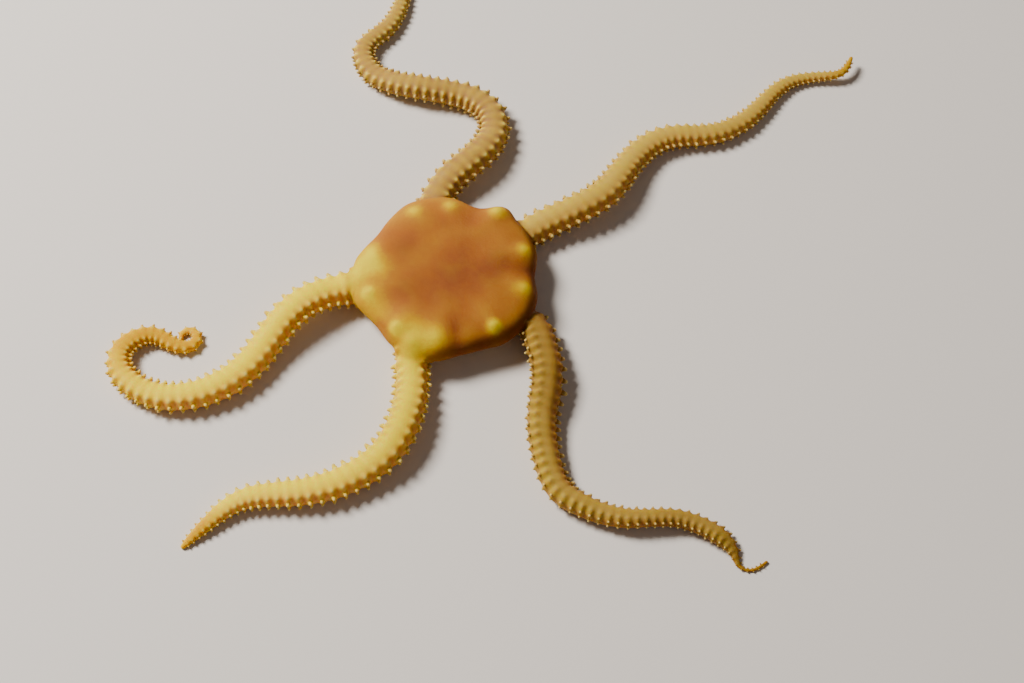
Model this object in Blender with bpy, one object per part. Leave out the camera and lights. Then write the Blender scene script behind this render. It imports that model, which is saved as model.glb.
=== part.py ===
"""A skin-covered brittle star at life size, lying on a flat floor with its five arms in loose bends.

The animal is a low five-lobed disc, five jaws under its middle and five arms. Each arm is divided into
lengths, and each length carries rows of short spines along both sides. Names run clockwise from above:
arm_a leaves the back of the disc, arm_b the right, arm_c the front right, arm_d the front, arm_e the left.

Every size below is in millimetres and every angle in degrees. Plan positions are measured from the
middle of the disc, +X to the right and +Y to the back, and heights from the floor.
"""

import math
import random
from dataclasses import dataclass

import bmesh
import bpy
import numpy as np
from mathutils import Matrix, Vector

MM = 0.001
GAP = 0.3  # between neighbouring solids
SEED = 11
SHARP_ANGLE = 50.0


@dataclass(frozen=True)
class Hump:
    """A stretch of an arm that stands a little off the floor: its middle and half length along the arm."""

    at: float
    reach: float
    height: float


@dataclass(frozen=True)
class Arm:
    """One arm: its bearing on the disc, the plan positions that it passes, and the shape of its end."""

    name: str
    bearing: float
    waypoints: tuple
    humps: tuple
    taper: float
    tip_taper: float = 0.85
    curl_turn: float = 0.0
    thread: float = 0.0


ARMS = (
    Arm(
        "arm_a",
        106.0,
        (
            (-2.6, 14.0), (-0.6, 18.7), (4.0, 23.5), (7.0, 29.0), (6.3, 33.7), (2.4, 36.8), (-4.0, 38.1),
            (-10.0, 39.8), (-14.1, 43.0), (-15.0, 47.5), (-11.7, 51.7), (-9.4, 56.6), (-9.0, 61.0),
            (-11.0, 65.5), (-11.6, 70.0), (-9.6, 73.8),
        ),
        (Hump(20.0, 10.0, 1.0), Hump(46.0, 9.0, 0.8)),
        taper=1.75,
    ),
    Arm(
        "arm_b",
        35.0,
        (
            (13.1, 9.8), (20.3, 13.5), (25.0, 16.6), (27.5, 20.2), (30.9, 25.4), (35.9, 28.6), (42.0, 29.2),
            (46.8, 31.0), (51.2, 35.0), (55.9, 40.1), (61.8, 41.7), (65.4, 42.0), (67.5, 45.3),
        ),
        (Hump(24.0, 13.0, 1.2), Hump(80.0, 12.0, 1.6)),
        taper=1.55,
    ),
    Arm(
        "arm_c",
        -35.0,
        (
            (12.8, -7.4), (14.5, -11.5), (15.3, -17.0), (14.4, -24.0), (15.1, -30.1), (17.0, -35.2),
            (21.2, -38.0), (27.0, -39.7), (34.1, -39.6), (39.2, -41.7), (42.0, -44.9), (42.7, -46.6),
            (43.7, -47.1), (46.8, -45.6),
        ),
        (Hump(18.0, 9.0, 0.9), Hump(52.0, 8.0, 0.6)),
        taper=1.7,
        thread=3.6,
    ),
    Arm(
        "arm_d",
        -108.0,
        (
            (-5.0, -13.0), (-5.0, -17.5), (-5.6, -23.1), (-8.1, -29.0), (-12.5, -32.7), (-18.0, -35.0),
            (-24.0, -35.8), (-29.3, -36.6), (-33.2, -39.4), (-37.6, -43.8),
        ),
        (Hump(22.0, 10.0, 0.8),),
        taper=3.1,
    ),
    Arm(
        "arm_e",
        186.0,
        (
            (-14.0, -1.0), (-18.5, -2.2), (-22.3, -4.5), (-25.7, -8.2), (-28.9, -13.1), (-32.5, -17.0),
            (-37.1, -19.3), (-42.0, -19.8), (-46.5, -18.1), (-49.5, -14.8), (-49.7, -11.8), (-47.9, -9.6),
            (-44.9, -8.8), (-42.3, -10.0), (-41.2, -10.5), (-40.2, -10.7),
        ),
        (Hump(18.0, 11.0, 1.4),),
        taper=2.0,
        tip_taper=0.65,
        curl_turn=310.0,
    ),
)

# Arm
ARM_START = 5.2  # from the disc's middle to the arm's inner end, at the edge of the mouth
ARM_MOUTH_WIDTH = 3.0
ARM_WIDTH = 4.3  # at the disc's edge
ARM_TIP_WIDTH = 0.6
ARM_ROOT_TAPER = 0.7
ARM_HEIGHT_SHARE = 0.94  # of the width
ARM_SIDES = 8
ARM_TOP_ANGLE = 67.5  # of the first corner of a ring, so that the ring has a flat foot and a flat back
ARM_ROUND_END = 0.45
ARM_END_SETBACK = 0.15
ARM_END_SHRINK = 0.6
STUMP_WIDTH = 2.4
STUMP_SLOPE = 7.0
THREAD_WIDTH = 0.55
CURL_RADIUS = 1.8
CURL_END_RADIUS = 0.85
LINE_STEP = 0.2
RING_STEP = 1.9
RING_TURN = 14.0
RING_SHORTEST = 0.45
NARROW_SHARE = 0.45  # rings and gaps shrink with the arm's width, down to this share
TINY = 1e-6
LENGTH_LIMIT = 25.0
LENGTH_TURN = 68.0
SHORTEST_LENGTH = 4.0

# Spines
SPINE_STEP = 2.2  # along the arm at its root, where the spines are furthest apart
SPINE_TIP_STEP = 1.5
SPINE_FIRST = 10.2  # along the arm, just past the disc's edge
SPINE_LENGTH = 1.1
SPINE_TIP_LENGTH = 0.35
SPINE_RADIUS = 0.56
SPINE_TIP_RADIUS = 0.28
SPINE_SINK = 0.75  # of the spine's radius at its root, into the arm
SPINE_SIDES = 3
SPINE_ROWS = ((40.0, 46.0, 0.0), (-4.0, 4.0, 0.5))  # root angle, aim above level, place in the step
SPINE_SWEEP = 16.0  # towards the arm's tip
SPINE_CLEAR = 0.75  # from an arm length's end face to the middle of the nearest root
SPINE_VARY = 0.14
SPINE_SHORTEST = 0.25
SPINE_FOOT_SHARE = 0.72  # of the arm's half height
SPINE_ROOM_SHARE = 0.42  # of the room on the inner side of a bend
SPINE_END = 0.6  # from the arm's end, with no more spines

# Disc
DISC_RADIUS = 14.3
DISC_LOBE = 0.55
DISC_MIDDLE = 3.8  # height of the widest level
DISC_TOP = 7.0
DISC_UNDER = 0.9
DISC_POWER = 4.0
DISC_COLUMNS_PER_LOBE = 8
DISC_TOP_RINGS = (0.3, 0.55, 0.72, 0.86, 0.94, 0.985)
DISC_UNDER_RINGS = (0.975, 0.9, 0.7, 0.42)
SHIELD_OFFSET = 0.25  # of the way from one arm to the next
SHIELD_RING = 0.86
SHIELD_HEIGHT = 0.65
SHIELD_SPREAD = 2.3
RIDGE_START = 0.4
RIDGE_HEIGHT = 0.2
RIDGE_SPREAD = 2.2
CREASE_DEPTH = 0.6
ARM_CREASE_DEPTH = 0.2
CREASE_SPREAD = 2.2
RELIEF_EDGE = 0.1  # of the disc's radius, where the relief fades out at its edge

# Mouth
CHANNEL_OVERLAP = 1.2  # of an arm's channel with the pit
PIT_RADIUS = 4.9
PIT_ROOF = 2.9
PIT_SIDES = 30
JAW_BOTTOM = 0.45
JAW_HALF_ANGLE = math.radians(180 / 5)
JAW_SLIT = 0.6  # from an arm's midline to the edge of the jaw
JAW_POINT = 1.4  # from the mouth's middle to the jaw's blunt point
JAW_WAIST = 2.9
JAW_WIDEST = 3.9
JAW_THIN = 0.35  # half the width of the point
JAW_BEVEL = 0.45
PAPILLAE = 3
PAPILLA_FIRST = 0.45
PAPILLA_STEP = 0.65
PAPILLA_LEAN = -0.5
PAPILLA_DROP = 0.25
PAPILLA_LENGTH = 0.35
PAPILLA_RADIUS = 0.3
TOOTH_RISE = 0.8
TOOTH_LENGTH = 0.65
TOOTH_RADIUS = 0.34
PLATE_AT = 3.3  # the round plate at a jaw's back, from the mouth's middle
PLATE_SINK = 0.25
PLATE_RADII = (1.0, 1.25, 0.45)
PLATE_SEGMENTS = 10
PLATE_RINGS = 5

SKIN_YELLOW = (0.80, 0.43, 0.045, 1.0)
SKIN_ORANGE = (0.62, 0.25, 0.025, 1.0)
JAW_CREAM = (0.80, 0.55, 0.20, 1.0)
SKIN_ROUGHNESS = 0.45
JAW_ROUGHNESS = 0.5


def clear_scene():
    """Removes whatever the scene holds."""
    for obj in list(bpy.data.objects):
        bpy.data.objects.remove(obj, do_unlink=True)


def material(name, colour, roughness):
    """A Principled material of one colour."""
    made = bpy.data.materials.new(name)
    made.use_nodes = True
    shader = made.node_tree.nodes["Principled BSDF"]
    shader.inputs["Base Color"].default_value = colour
    shader.inputs["Roughness"].default_value = roughness
    shader.inputs["Metallic"].default_value = 0.0
    return made


def solid(name, points, faces, finish):
    """An object from points in millimetres and faces, with its normals facing out."""
    mesh = bpy.data.meshes.new(name)
    mesh.from_pydata([Vector(point) * MM for point in points], [], faces)
    shape = bmesh.new()
    shape.from_mesh(mesh)
    bmesh.ops.recalc_face_normals(shape, faces=shape.faces)
    shape.to_mesh(mesh)
    shape.free()
    mesh.materials.append(finish)
    made = bpy.data.objects.new(name, mesh)
    bpy.context.scene.collection.objects.link(made)
    return made


def combine(core, pieces, operation):
    """Joins the closed pieces to the core, or cuts them from it, by one applied Boolean, and removes them."""
    group = bpy.data.collections.new("pieces")
    bpy.context.scene.collection.children.link(group)
    for piece in pieces:
        bpy.context.scene.collection.objects.unlink(piece)
        group.objects.link(piece)
    modifier = core.modifiers.new(operation.lower(), "BOOLEAN")
    modifier.operation = operation
    modifier.operand_type = "COLLECTION"
    modifier.collection = group
    modifier.solver = "EXACT"
    graph = bpy.context.evaluated_depsgraph_get()
    shape = bmesh.new()
    shape.from_object(core, graph)
    core.modifiers.remove(modifier)
    keep_largest(shape)
    shape.to_mesh(core.data)
    shape.free()
    for piece in pieces:
        bpy.data.objects.remove(piece, do_unlink=True)
    bpy.data.collections.remove(group)


def keep_largest(shape):
    """Leaves only the closed surface that holds the most volume."""
    waiting = set(shape.faces)
    islands = []
    while waiting:
        front = [waiting.pop()]
        island = list(front)
        while front:
            face = front.pop()
            for edge in face.edges:
                for other in edge.link_faces:
                    if other in waiting:
                        waiting.remove(other)
                        front.append(other)
                        island.append(other)
        islands.append(island)

    def volume(island):
        """Six times the volume inside a surface, from fans over its faces."""
        total = 0.0
        for face in island:
            corners = [vert.co for vert in face.verts]
            for second, third in zip(corners[1:], corners[2:]):
                total += corners[0].dot(second.cross(third))
        return abs(total)

    islands.sort(key=volume)
    spare = [face for island in islands[:-1] for face in island]
    bmesh.ops.delete(shape, geom=spare, context="FACES")


def spline_line(points, step):
    """Points about a step apart along the natural cubic spline through the given plan positions."""
    points = np.array(points, float)
    knots = np.concatenate([[0.0], np.cumsum(np.linalg.norm(np.diff(points, axis=0), axis=1))])
    spans = np.diff(knots)
    count = len(points)
    system = np.eye(count)
    right = np.zeros_like(points)
    for i in range(1, count - 1):
        system[i, i - 1 : i + 2] = spans[i - 1], 2 * (spans[i - 1] + spans[i]), spans[i]
        slope_after = (points[i + 1] - points[i]) / spans[i]
        slope_before = (points[i] - points[i - 1]) / spans[i - 1]
        right[i] = 6 * (slope_after - slope_before)
    second = np.linalg.solve(system, right)
    at = np.arange(0.0, knots[-1], step)
    span = np.clip(np.searchsorted(knots, at, side="right") - 1, 0, count - 2)
    ahead = ((at - knots[span]) / spans[span])[:, None]
    behind = 1 - ahead
    squared = (spans[span] ** 2)[:, None] / 6
    bent = (behind**3 - behind) * second[span] + (ahead**3 - ahead) * second[span + 1]
    return behind * points[span] + ahead * points[span + 1] + squared * bent


def add_curl(line, turn, step):
    """Carries a plan line on into a flat curl to the left that tightens towards its end."""
    if not turn:
        return line
    heading = math.atan2(*(line[-1] - line[-2])[::-1])
    here = line[-1]
    more = []
    turned = 0.0
    while turned < math.radians(turn):
        share = turned / math.radians(turn)
        turned += step / (CURL_RADIUS + (CURL_END_RADIUS - CURL_RADIUS) * share)
        here = here + step * np.array([math.cos(heading + turned), math.sin(heading + turned)])
        more.append(here)
    return np.concatenate([line, more])


class ArmPath:
    """The line along an arm's foot, measured by distance from its inner end."""

    def __init__(self, arm):
        self.arm = arm
        bearing = math.radians(arm.bearing)
        out = np.array([math.cos(bearing), math.sin(bearing)])
        route = [out * ARM_START, out * (ARM_START + DISC_RADIUS) / 2, *arm.waypoints]
        line = add_curl(spline_line(route, LINE_STEP), arm.curl_turn, LINE_STEP)
        self.distance = np.concatenate([[0.0], np.cumsum(np.linalg.norm(np.diff(line, axis=0), axis=1))])
        self.length = float(self.distance[-1])
        self.line = line
        heading = np.unwrap(np.arctan2(*np.gradient(line, axis=0).T[::-1]))
        self.heading = heading
        self.bend = np.gradient(heading, self.distance)
        self.turned = np.concatenate([[0.0], np.cumsum(np.abs(np.diff(heading)))])

    def read(self, values, at):
        """A value that is known along the line, at one distance."""
        return float(np.interp(at, self.distance, values))

    def lift(self, at):
        """Height of the arm's foot above the floor."""
        height = 0.0
        for hump in self.arm.humps:
            away = min(1.0, abs(at - hump.at) / hump.reach)
            height += hump.height * math.cos(away * math.pi / 2) ** 2
        return height

    def foot(self, at):
        """The point of the arm's foot at one distance."""
        return Vector((self.read(self.line[:, 0], at), self.read(self.line[:, 1], at), self.lift(at)))

    def left(self, at):
        """The level direction to the arm's left."""
        heading = self.read(self.heading, at)
        return Vector((-math.sin(heading), math.cos(heading), 0.0))

    def ahead(self, at):
        """The level direction along the arm."""
        heading = self.read(self.heading, at)
        return Vector((math.cos(heading), math.sin(heading), 0.0))

    def width(self, at):
        """Width of the arm's body, without its spines."""
        edge = DISC_RADIUS - ARM_START
        if at < edge:
            return ARM_MOUTH_WIDTH + (ARM_WIDTH - ARM_MOUTH_WIDTH) * (at / edge) ** ARM_ROOT_TAPER
        full = self.length - self.arm.thread
        share = min(1.0, (at - edge) / (full - edge))
        narrowing = (1 - share**self.arm.taper) ** self.arm.tip_taper
        width = ARM_TIP_WIDTH + (ARM_WIDTH - ARM_TIP_WIDTH) * narrowing
        if self.arm.thread:
            # A regrown tip starts from an arm that is still thick there.
            stump = max(width, STUMP_WIDTH)
            narrowed = min(1.0, max(0.0, (at - full) / STUMP_SLOPE + 1))
            width = stump + (THREAD_WIDTH - stump) * narrowed**2 * (3 - 2 * narrowed)
        return width

    def outer(self, at, side, angle):
        """The surface point at a root angle above level, on the left (1) or right (-1)."""
        half = self.width(at) / 2
        tall = half * ARM_HEIGHT_SHARE
        turn = math.radians(angle)
        across = self.left(at) * (side * half * math.cos(turn))
        return self.foot(at) + across + Vector((0, 0, tall * (1 + math.sin(turn))))

    def lengths(self):
        """Distances where the arm is divided, so that no length is long or bends far round."""
        cuts = [0.0]
        turn_at_cut = 0.0
        for at in np.arange(0.0, self.length, LINE_STEP):
            turned = math.degrees(self.read(self.turned, at))
            far = at - cuts[-1] >= LENGTH_LIMIT
            bent = turned - turn_at_cut >= LENGTH_TURN and at - cuts[-1] >= SHORTEST_LENGTH
            if (far or bent) and self.length - at > SHORTEST_LENGTH:
                cuts.append(float(at))
                turn_at_cut = turned
        return [*cuts, self.length]


def arm_ring(path, at, shrink=1.0, grow=0.0):
    """The corners of an arm's outline at one distance, with a flat foot."""
    half = path.width(at) / 2 * shrink + grow
    tall = path.width(at) / 2 * ARM_HEIGHT_SHARE
    middle = path.foot(at) + Vector((0, 0, tall))
    left = path.left(at)
    height = tall * shrink + grow
    corners = []
    for i in range(ARM_SIDES):
        turn = math.radians(ARM_TOP_ANGLE + 360 * i / ARM_SIDES)
        rise = math.sin(turn) / math.sin(math.radians(ARM_TOP_ANGLE))
        corners.append(middle - left * (half * math.cos(turn)) + Vector((0, 0, height * rise)))
    return corners


def ring_places(path, start, end):
    """Distances of the rings along one length, closer together where the arm bends."""
    places = [start]
    while places[-1] < end:
        at = places[-1]
        turn = max(TINY, abs(math.degrees(path.read(path.bend, at))))
        narrow = max(NARROW_SHARE, path.width(at) / ARM_WIDTH)
        places.append(at + max(RING_SHORTEST, min(RING_STEP * narrow, RING_TURN / turn)))
    stretch = (end - start) / (places[-1] - start)
    return [start + (at - start) * stretch for at in places]


def tube(name, rings, finish):
    """A closed tube through rings of equal size, with flat ends."""
    count = len(rings[0])
    points = [corner for ring in rings for corner in ring]
    faces = [list(range(count)), list(range(len(points) - count, len(points)))]
    for i in range(len(rings) - 1):
        for j in range(count):
            first, second = i * count + j, i * count + (j + 1) % count
            faces.append([first, second, second + count, first + count])
    return solid(name, points, faces, finish)


def spine(root, aim, length, radius, finish):
    """A closed pointed spine whose foot is sunk below its root."""
    foot = root - aim * (radius / SPINE_SINK)
    turn = Vector((0, 0, 1)).rotation_difference(aim).to_matrix()
    corners = []
    for i in range(SPINE_SIDES):
        angle = 2 * math.pi * i / SPINE_SIDES
        corners.append(foot + turn @ Vector((math.cos(angle), math.sin(angle), 0.0)) * radius)
    corners.append(root + aim * length)
    faces = [list(range(SPINE_SIDES))[::-1]]
    faces += [[i, (i + 1) % SPINE_SIDES, SPINE_SIDES] for i in range(SPINE_SIDES)]
    return solid("spine", corners, faces, finish)


def spine_places(path):
    """Distances of the spine groups along an arm, closer together towards the tip."""
    places = []
    at = SPINE_FIRST
    full = path.length - path.arm.thread
    while at < full - SPINE_END:
        places.append(at)
        share = at / path.length
        at += SPINE_STEP + (SPINE_TIP_STEP - SPINE_STEP) * share
    return places


def arm_spines(path, start, end, finish, draw):
    """The spines whose roots lie on one length of an arm."""
    made = []
    places = spine_places(path)
    for i, place in enumerate(places):
        step = places[i + 1] - place if i + 1 < len(places) else SPINE_TIP_STEP
        for angle, rise, shift in SPINE_ROWS:
            at = place + shift * step
            vary = [1 + SPINE_VARY * draw.uniform(-1, 1) for _ in range(2)]
            share = path.width(at) / ARM_WIDTH
            clear = SPINE_CLEAR * max(NARROW_SHARE, share)
            if not start + clear <= at <= end - clear:
                continue
            for side, varied in zip((1, -1), vary):
                length = SPINE_TIP_LENGTH + (SPINE_LENGTH - SPINE_TIP_LENGTH) * share
                radius = SPINE_TIP_RADIUS + (SPINE_RADIUS - SPINE_TIP_RADIUS) * share
                # No corner of a spine's foot may pass the flat of the arm's foot.
                radius = min(radius, path.width(at) / 2 * ARM_HEIGHT_SHARE * SPINE_FOOT_SHARE)
                bend = path.read(path.bend, at) * side
                if bend > 0:
                    # The inner side of a bend has less room.
                    room = 1 / bend - path.width(at) / 2
                    length = min(length, max(SPINE_SHORTEST, room * SPINE_ROOM_SHARE))
                level = path.left(at) * side
                sweep = math.radians(SPINE_SWEEP)
                along = level * math.cos(sweep) + path.ahead(at) * math.sin(sweep)
                up = math.radians(rise)
                aim = along * math.cos(up) + Vector((0, 0, math.sin(up)))
                made.append(spine(path.outer(at, side, angle), aim, length * varied, radius, finish))
    return made


def build_arm(arm, finish, draw):
    """All the lengths of one arm, with their spines."""
    path = ArmPath(arm)
    cuts = path.lengths()
    for i, (start, end) in enumerate(zip(cuts, cuts[1:])):
        last = i == len(cuts) - 2
        start = start + (GAP / 2 if i else 0.0)
        end = end if last else end - GAP / 2
        flat_end = end - (ARM_ROUND_END if last else 0.0)
        rings = [arm_ring(path, at) for at in ring_places(path, start, flat_end)]
        if last:
            rings.append(arm_ring(path, path.length - ARM_END_SETBACK, ARM_END_SHRINK))
        name = f"{arm.name}_tip" if last else f"{arm.name}_{i + 1}"
        core = tube(name, rings, finish)
        spines = arm_spines(path, start, end, finish, draw)
        if spines:
            combine(core, spines, "UNION")


def lobe_share(angle):
    """How far an angle lies from one arm to the next, from 0 to 1."""
    bearings = sorted(arm.bearing % 360 for arm in ARMS)
    angle %= 360
    for low, high in zip(bearings, [*bearings[1:], bearings[0] + 360]):
        for turned in (angle, angle + 360):
            if low <= turned < high:
                return (turned - low) / (high - low)
    return 0.0


def disc_radius(angle):
    """Distance from the disc's middle to its edge."""
    return DISC_RADIUS + DISC_LOBE * math.cos(2 * math.pi * lobe_share(angle))


def disc_relief(angle, ring):
    """What the shields, their ridges and the creases between lobes add to the height of the back."""
    share = lobe_share(angle)
    radius = disc_radius(angle) * ring
    lobe = 2 * math.pi * radius / len(ARMS)
    relief = 0.0
    outward = max(0.0, min(1.0, (ring - RIDGE_START) / (SHIELD_RING - RIDGE_START)))
    for at in (SHIELD_OFFSET, 1 - SHIELD_OFFSET):
        aside = (share - at) * lobe
        along = (ring - SHIELD_RING) * DISC_RADIUS
        relief += SHIELD_HEIGHT * math.exp(-(aside**2 + along**2) / SHIELD_SPREAD**2)
        relief += RIDGE_HEIGHT * outward * math.exp(-((aside / RIDGE_SPREAD) ** 2))
    for at, depth in ((0.0, ARM_CREASE_DEPTH), (0.5, CREASE_DEPTH), (1.0, ARM_CREASE_DEPTH)):
        relief -= depth * outward * math.exp(-(((share - at) * lobe / CREASE_SPREAD) ** 2))
    return relief


def disc_point(angle, ring, back):
    """A point of the disc's back or underside, at a share of the way from the middle to the edge."""
    turn = math.radians(angle)
    tall = DISC_TOP - DISC_MIDDLE if back else DISC_UNDER - DISC_MIDDLE
    height = DISC_MIDDLE + tall * math.sqrt(max(0.0, 1 - ring**DISC_POWER))
    if back:
        height += disc_relief(angle, ring) * min(1.0, (1 - ring) / RELIEF_EDGE)
    radius = disc_radius(angle) * ring
    return Vector((radius * math.cos(turn), radius * math.sin(turn), height))


def disc_columns():
    """The angles of the disc's columns, the same number in each lobe."""
    bearings = sorted(arm.bearing % 360 for arm in ARMS)
    angles = []
    for low, high in zip(bearings, [*bearings[1:], bearings[0] + 360]):
        angles += [low + (high - low) * i / DISC_COLUMNS_PER_LOBE for i in range(DISC_COLUMNS_PER_LOBE)]
    return angles


def build_disc(finish):
    """The disc, with a channel for each arm and a pit for the jaws."""
    angles = disc_columns()
    rings = [(ring, True) for ring in DISC_TOP_RINGS] + [(1.0, True)]
    rings += [(ring, False) for ring in DISC_UNDER_RINGS]
    points = [disc_point(angle, ring, back) for ring, back in rings for angle in angles]
    count = len(angles)
    top, bottom = len(points), len(points) + 1
    points += [Vector((0, 0, DISC_TOP)), Vector((0, 0, DISC_UNDER))]
    faces = []
    for j in range(count):
        after = (j + 1) % count
        faces.append([top, j, after])
        faces.append([bottom, (len(rings) - 1) * count + after, (len(rings) - 1) * count + j])
        for i in range(len(rings) - 1):
            first, second = i * count + j, i * count + after
            faces.append([first, first + count, second + count, second])
    disc = solid("disc", points, faces, finish)
    cutters = [mouth_cutter(finish)]
    for arm in ARMS:
        path = ArmPath(arm)
        walls = [arm_ring(path, at, grow=GAP) for at in ring_places(path, 0.0, DISC_RADIUS)]
        inner = [corner - path.ahead(0.0) * CHANNEL_OVERLAP for corner in walls[0]]
        cutters.append(tube("channel", [inner, *walls], finish))
    combine(disc, cutters, "DIFFERENCE")


def mouth_cutter(finish):
    """The round pit in the disc's underside."""
    turns = [2 * math.pi * i / PIT_SIDES for i in range(PIT_SIDES)]
    wall = [Vector((math.cos(turn), math.sin(turn), 0)) * PIT_RADIUS for turn in turns]
    rings = [[corner + Vector((0, 0, height)) for corner in wall] for height in (-PIT_ROOF, PIT_ROOF)]
    return tube("pit", rings, finish)


def jaw_half(at):
    """Half the jaw's width at a distance from the mouth's middle, between two slits."""
    return max(JAW_THIN, at * math.tan(JAW_HALF_ANGLE) - JAW_SLIT / math.cos(JAW_HALF_ANGLE))


def jaw_outline():
    """Distances and half widths along a jaw, from its blunt point to its back in the pit's wall."""
    back = PIT_RADIUS - GAP
    shape = [(at, jaw_half(at)) for at in (JAW_POINT, JAW_POINT + JAW_THIN, JAW_WAIST, JAW_WIDEST)]
    reach = math.asin(jaw_half(JAW_WIDEST) / back)
    return [*shape, (back * math.cos(reach), back * math.sin(reach))]


def jaw_section(at, half):
    """The corners of a jaw's section, with bevelled lower edges."""
    bevel = min(JAW_BEVEL, half / 2)
    roof = PIT_ROOF - GAP
    outline = (
        (-half, JAW_BOTTOM + JAW_BEVEL), (bevel - half, JAW_BOTTOM), (half - bevel, JAW_BOTTOM),
        (half, JAW_BOTTOM + JAW_BEVEL), (half, roof), (-half, roof),
    )
    return [Vector((at, aside, height)) for aside, height in outline]


def jaw_papillae(finish):
    """The blunt papillae along both edges of a jaw, and the tooth at its point."""
    made = []
    for i in range(PAPILLAE):
        at = JAW_POINT + PAPILLA_FIRST + i * PAPILLA_STEP
        for side in (1, -1):
            aim = Vector((PAPILLA_LEAN, side, -PAPILLA_DROP)).normalized()
            root = Vector((at, side * jaw_half(at), JAW_BOTTOM + JAW_BEVEL))
            made.append(spine(root, aim, PAPILLA_LENGTH, PAPILLA_RADIUS, finish))
    root = Vector((JAW_POINT, 0, JAW_BOTTOM + TOOTH_RISE))
    aim = Vector((-1, 0, -PAPILLA_DROP)).normalized()
    return [*made, spine(root, aim, TOOTH_LENGTH, TOOTH_RADIUS, finish)]


def build_jaw(index, bearing, finish):
    """One jaw between two arms, with its shield plate, papillae and tooth."""
    rings = [jaw_section(at, half) for at, half in jaw_outline()]
    jaw = tube(f"jaw_{index}", rings, finish)
    combine(jaw, [shield_plate(finish), *jaw_papillae(finish)], "UNION")
    jaw.data.transform(Matrix.Rotation(math.radians(bearing), 4, "Z"))


def shield_plate(finish):
    """The low round plate at the back of a jaw."""
    shape = bmesh.new()
    bmesh.ops.create_uvsphere(shape, u_segments=PLATE_SEGMENTS, v_segments=PLATE_RINGS, radius=1.0)
    middle = Vector((PLATE_AT, 0, JAW_BOTTOM + PLATE_SINK))
    points = [middle + Vector(a * b for a, b in zip(vert.co, PLATE_RADII)) for vert in shape.verts]
    faces = [[v.index for v in face.verts] for face in shape.faces]
    shape.free()
    return solid("shield_plate", points, faces, finish)


def shade_round(obj):
    """Shades the round faces smooth and keeps the edges of the flat ends sharp."""
    obj.data.shade_smooth()
    obj.data.set_sharp_from_angle(angle=math.radians(SHARP_ANGLE))


def centre_on_floor():
    """Moves the animal so that the middle of its plan box is the origin and its feet are at zero."""
    corners = np.array([v.co for obj in bpy.data.objects for v in obj.data.vertices])
    low, high = corners.min(axis=0), corners.max(axis=0)
    shift = Matrix.Translation((-(low[0] + high[0]) / 2, -(low[1] + high[1]) / 2, -low[2]))
    for obj in bpy.data.objects:
        obj.data.transform(shift)


def main():
    """Builds every node of the animal."""
    clear_scene()
    back = material("disc_skin", SKIN_ORANGE, SKIN_ROUGHNESS)
    skin = material("arm_skin", SKIN_YELLOW, SKIN_ROUGHNESS)
    mouth = material("jaw_skin", JAW_CREAM, JAW_ROUGHNESS)
    build_disc(back)
    draw = random.Random(SEED)
    for arm in ARMS:
        build_arm(arm, skin, draw)
    bearings = sorted((arm.bearing for arm in ARMS), reverse=True)
    for i, (first, second) in enumerate(zip(bearings, [*bearings[1:], bearings[0] - 360])):
        build_jaw(i + 1, (first + second) / 2, mouth)
    centre_on_floor()
    for obj in bpy.data.objects:
        shade_round(obj)


main()
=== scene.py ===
"""The looks of a skin-covered brittle star at life size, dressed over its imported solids.

One skin covers the disc and the five arms. Over it come the spines of each arm, the tube feet under the
arms and the five jaws of the mouth.

Sizes are in millimetres and angles in degrees unless a name says otherwise. Plan positions are measured
from the middle of the disc, +X to the right and +Y to the back, and heights from the floor. Every mesh
is turned to metres and put in its place in its last step.
"""

import logging
import math
from collections.abc import Iterator, Mapping, Sequence
from dataclasses import dataclass, field
from enum import Enum

import bmesh
import bpy
import numpy as np
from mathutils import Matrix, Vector, kdtree


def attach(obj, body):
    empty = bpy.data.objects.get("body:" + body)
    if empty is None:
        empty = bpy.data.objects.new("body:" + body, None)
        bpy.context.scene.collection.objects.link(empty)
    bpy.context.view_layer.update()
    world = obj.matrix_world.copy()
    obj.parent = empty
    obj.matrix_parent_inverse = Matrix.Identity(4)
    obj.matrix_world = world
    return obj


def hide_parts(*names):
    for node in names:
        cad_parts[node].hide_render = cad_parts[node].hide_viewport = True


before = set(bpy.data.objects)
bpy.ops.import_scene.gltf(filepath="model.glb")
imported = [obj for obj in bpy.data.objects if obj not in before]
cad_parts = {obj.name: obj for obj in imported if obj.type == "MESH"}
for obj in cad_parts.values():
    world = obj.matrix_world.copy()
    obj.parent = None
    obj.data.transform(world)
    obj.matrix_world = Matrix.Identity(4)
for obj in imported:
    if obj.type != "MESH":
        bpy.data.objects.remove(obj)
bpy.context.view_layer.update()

Array = np.ndarray

LOG = logging.getLogger("brittle_star")
MM = 0.001
BODY = "root"
BAKE_MAP = "OFBake"
SEED = 11
LINE_STEP = 0.2

# How fine the noises of the skin are, per metre.
CLOUDS = 420.0
MOTTLE = 1500.0
SPECKS = 5200.0


def smooth_step(low: float, high: float, value: Array) -> Array:
    """A soft step from 0 at low to 1 at high.

    Args:
        low: Where the step starts.
        high: Where the step ends; it may be below low, for a falling step.
        value: The values to read.

    Returns:
        The step's share for each value.
    """
    share = np.clip((value - low) / (high - low), 0.0, 1.0)
    return share * share * (3 - 2 * share)


def bell(distance: Array, spread: float) -> Array:
    """A soft bump that is 1 at distance 0.

    Args:
        distance: How far each value lies from the bump's middle.
        spread: The distance at which the bump has fallen to about a third.

    Returns:
        The bump's share for each distance.
    """
    return np.exp(-((distance / spread) ** 2))


def mound(first: Array, second: Array, spread: Array | float) -> Array:
    """A soft round bump that is 1 where both distances from its middle are 0."""
    return np.exp(-(first**2 + second**2) / spread**2)


def level_of(around: Array) -> Array:
    """How high angles around an arm point, in radians, the same on both of its sides."""
    return np.arctan2(np.sin(around), np.abs(np.cos(around)))


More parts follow.
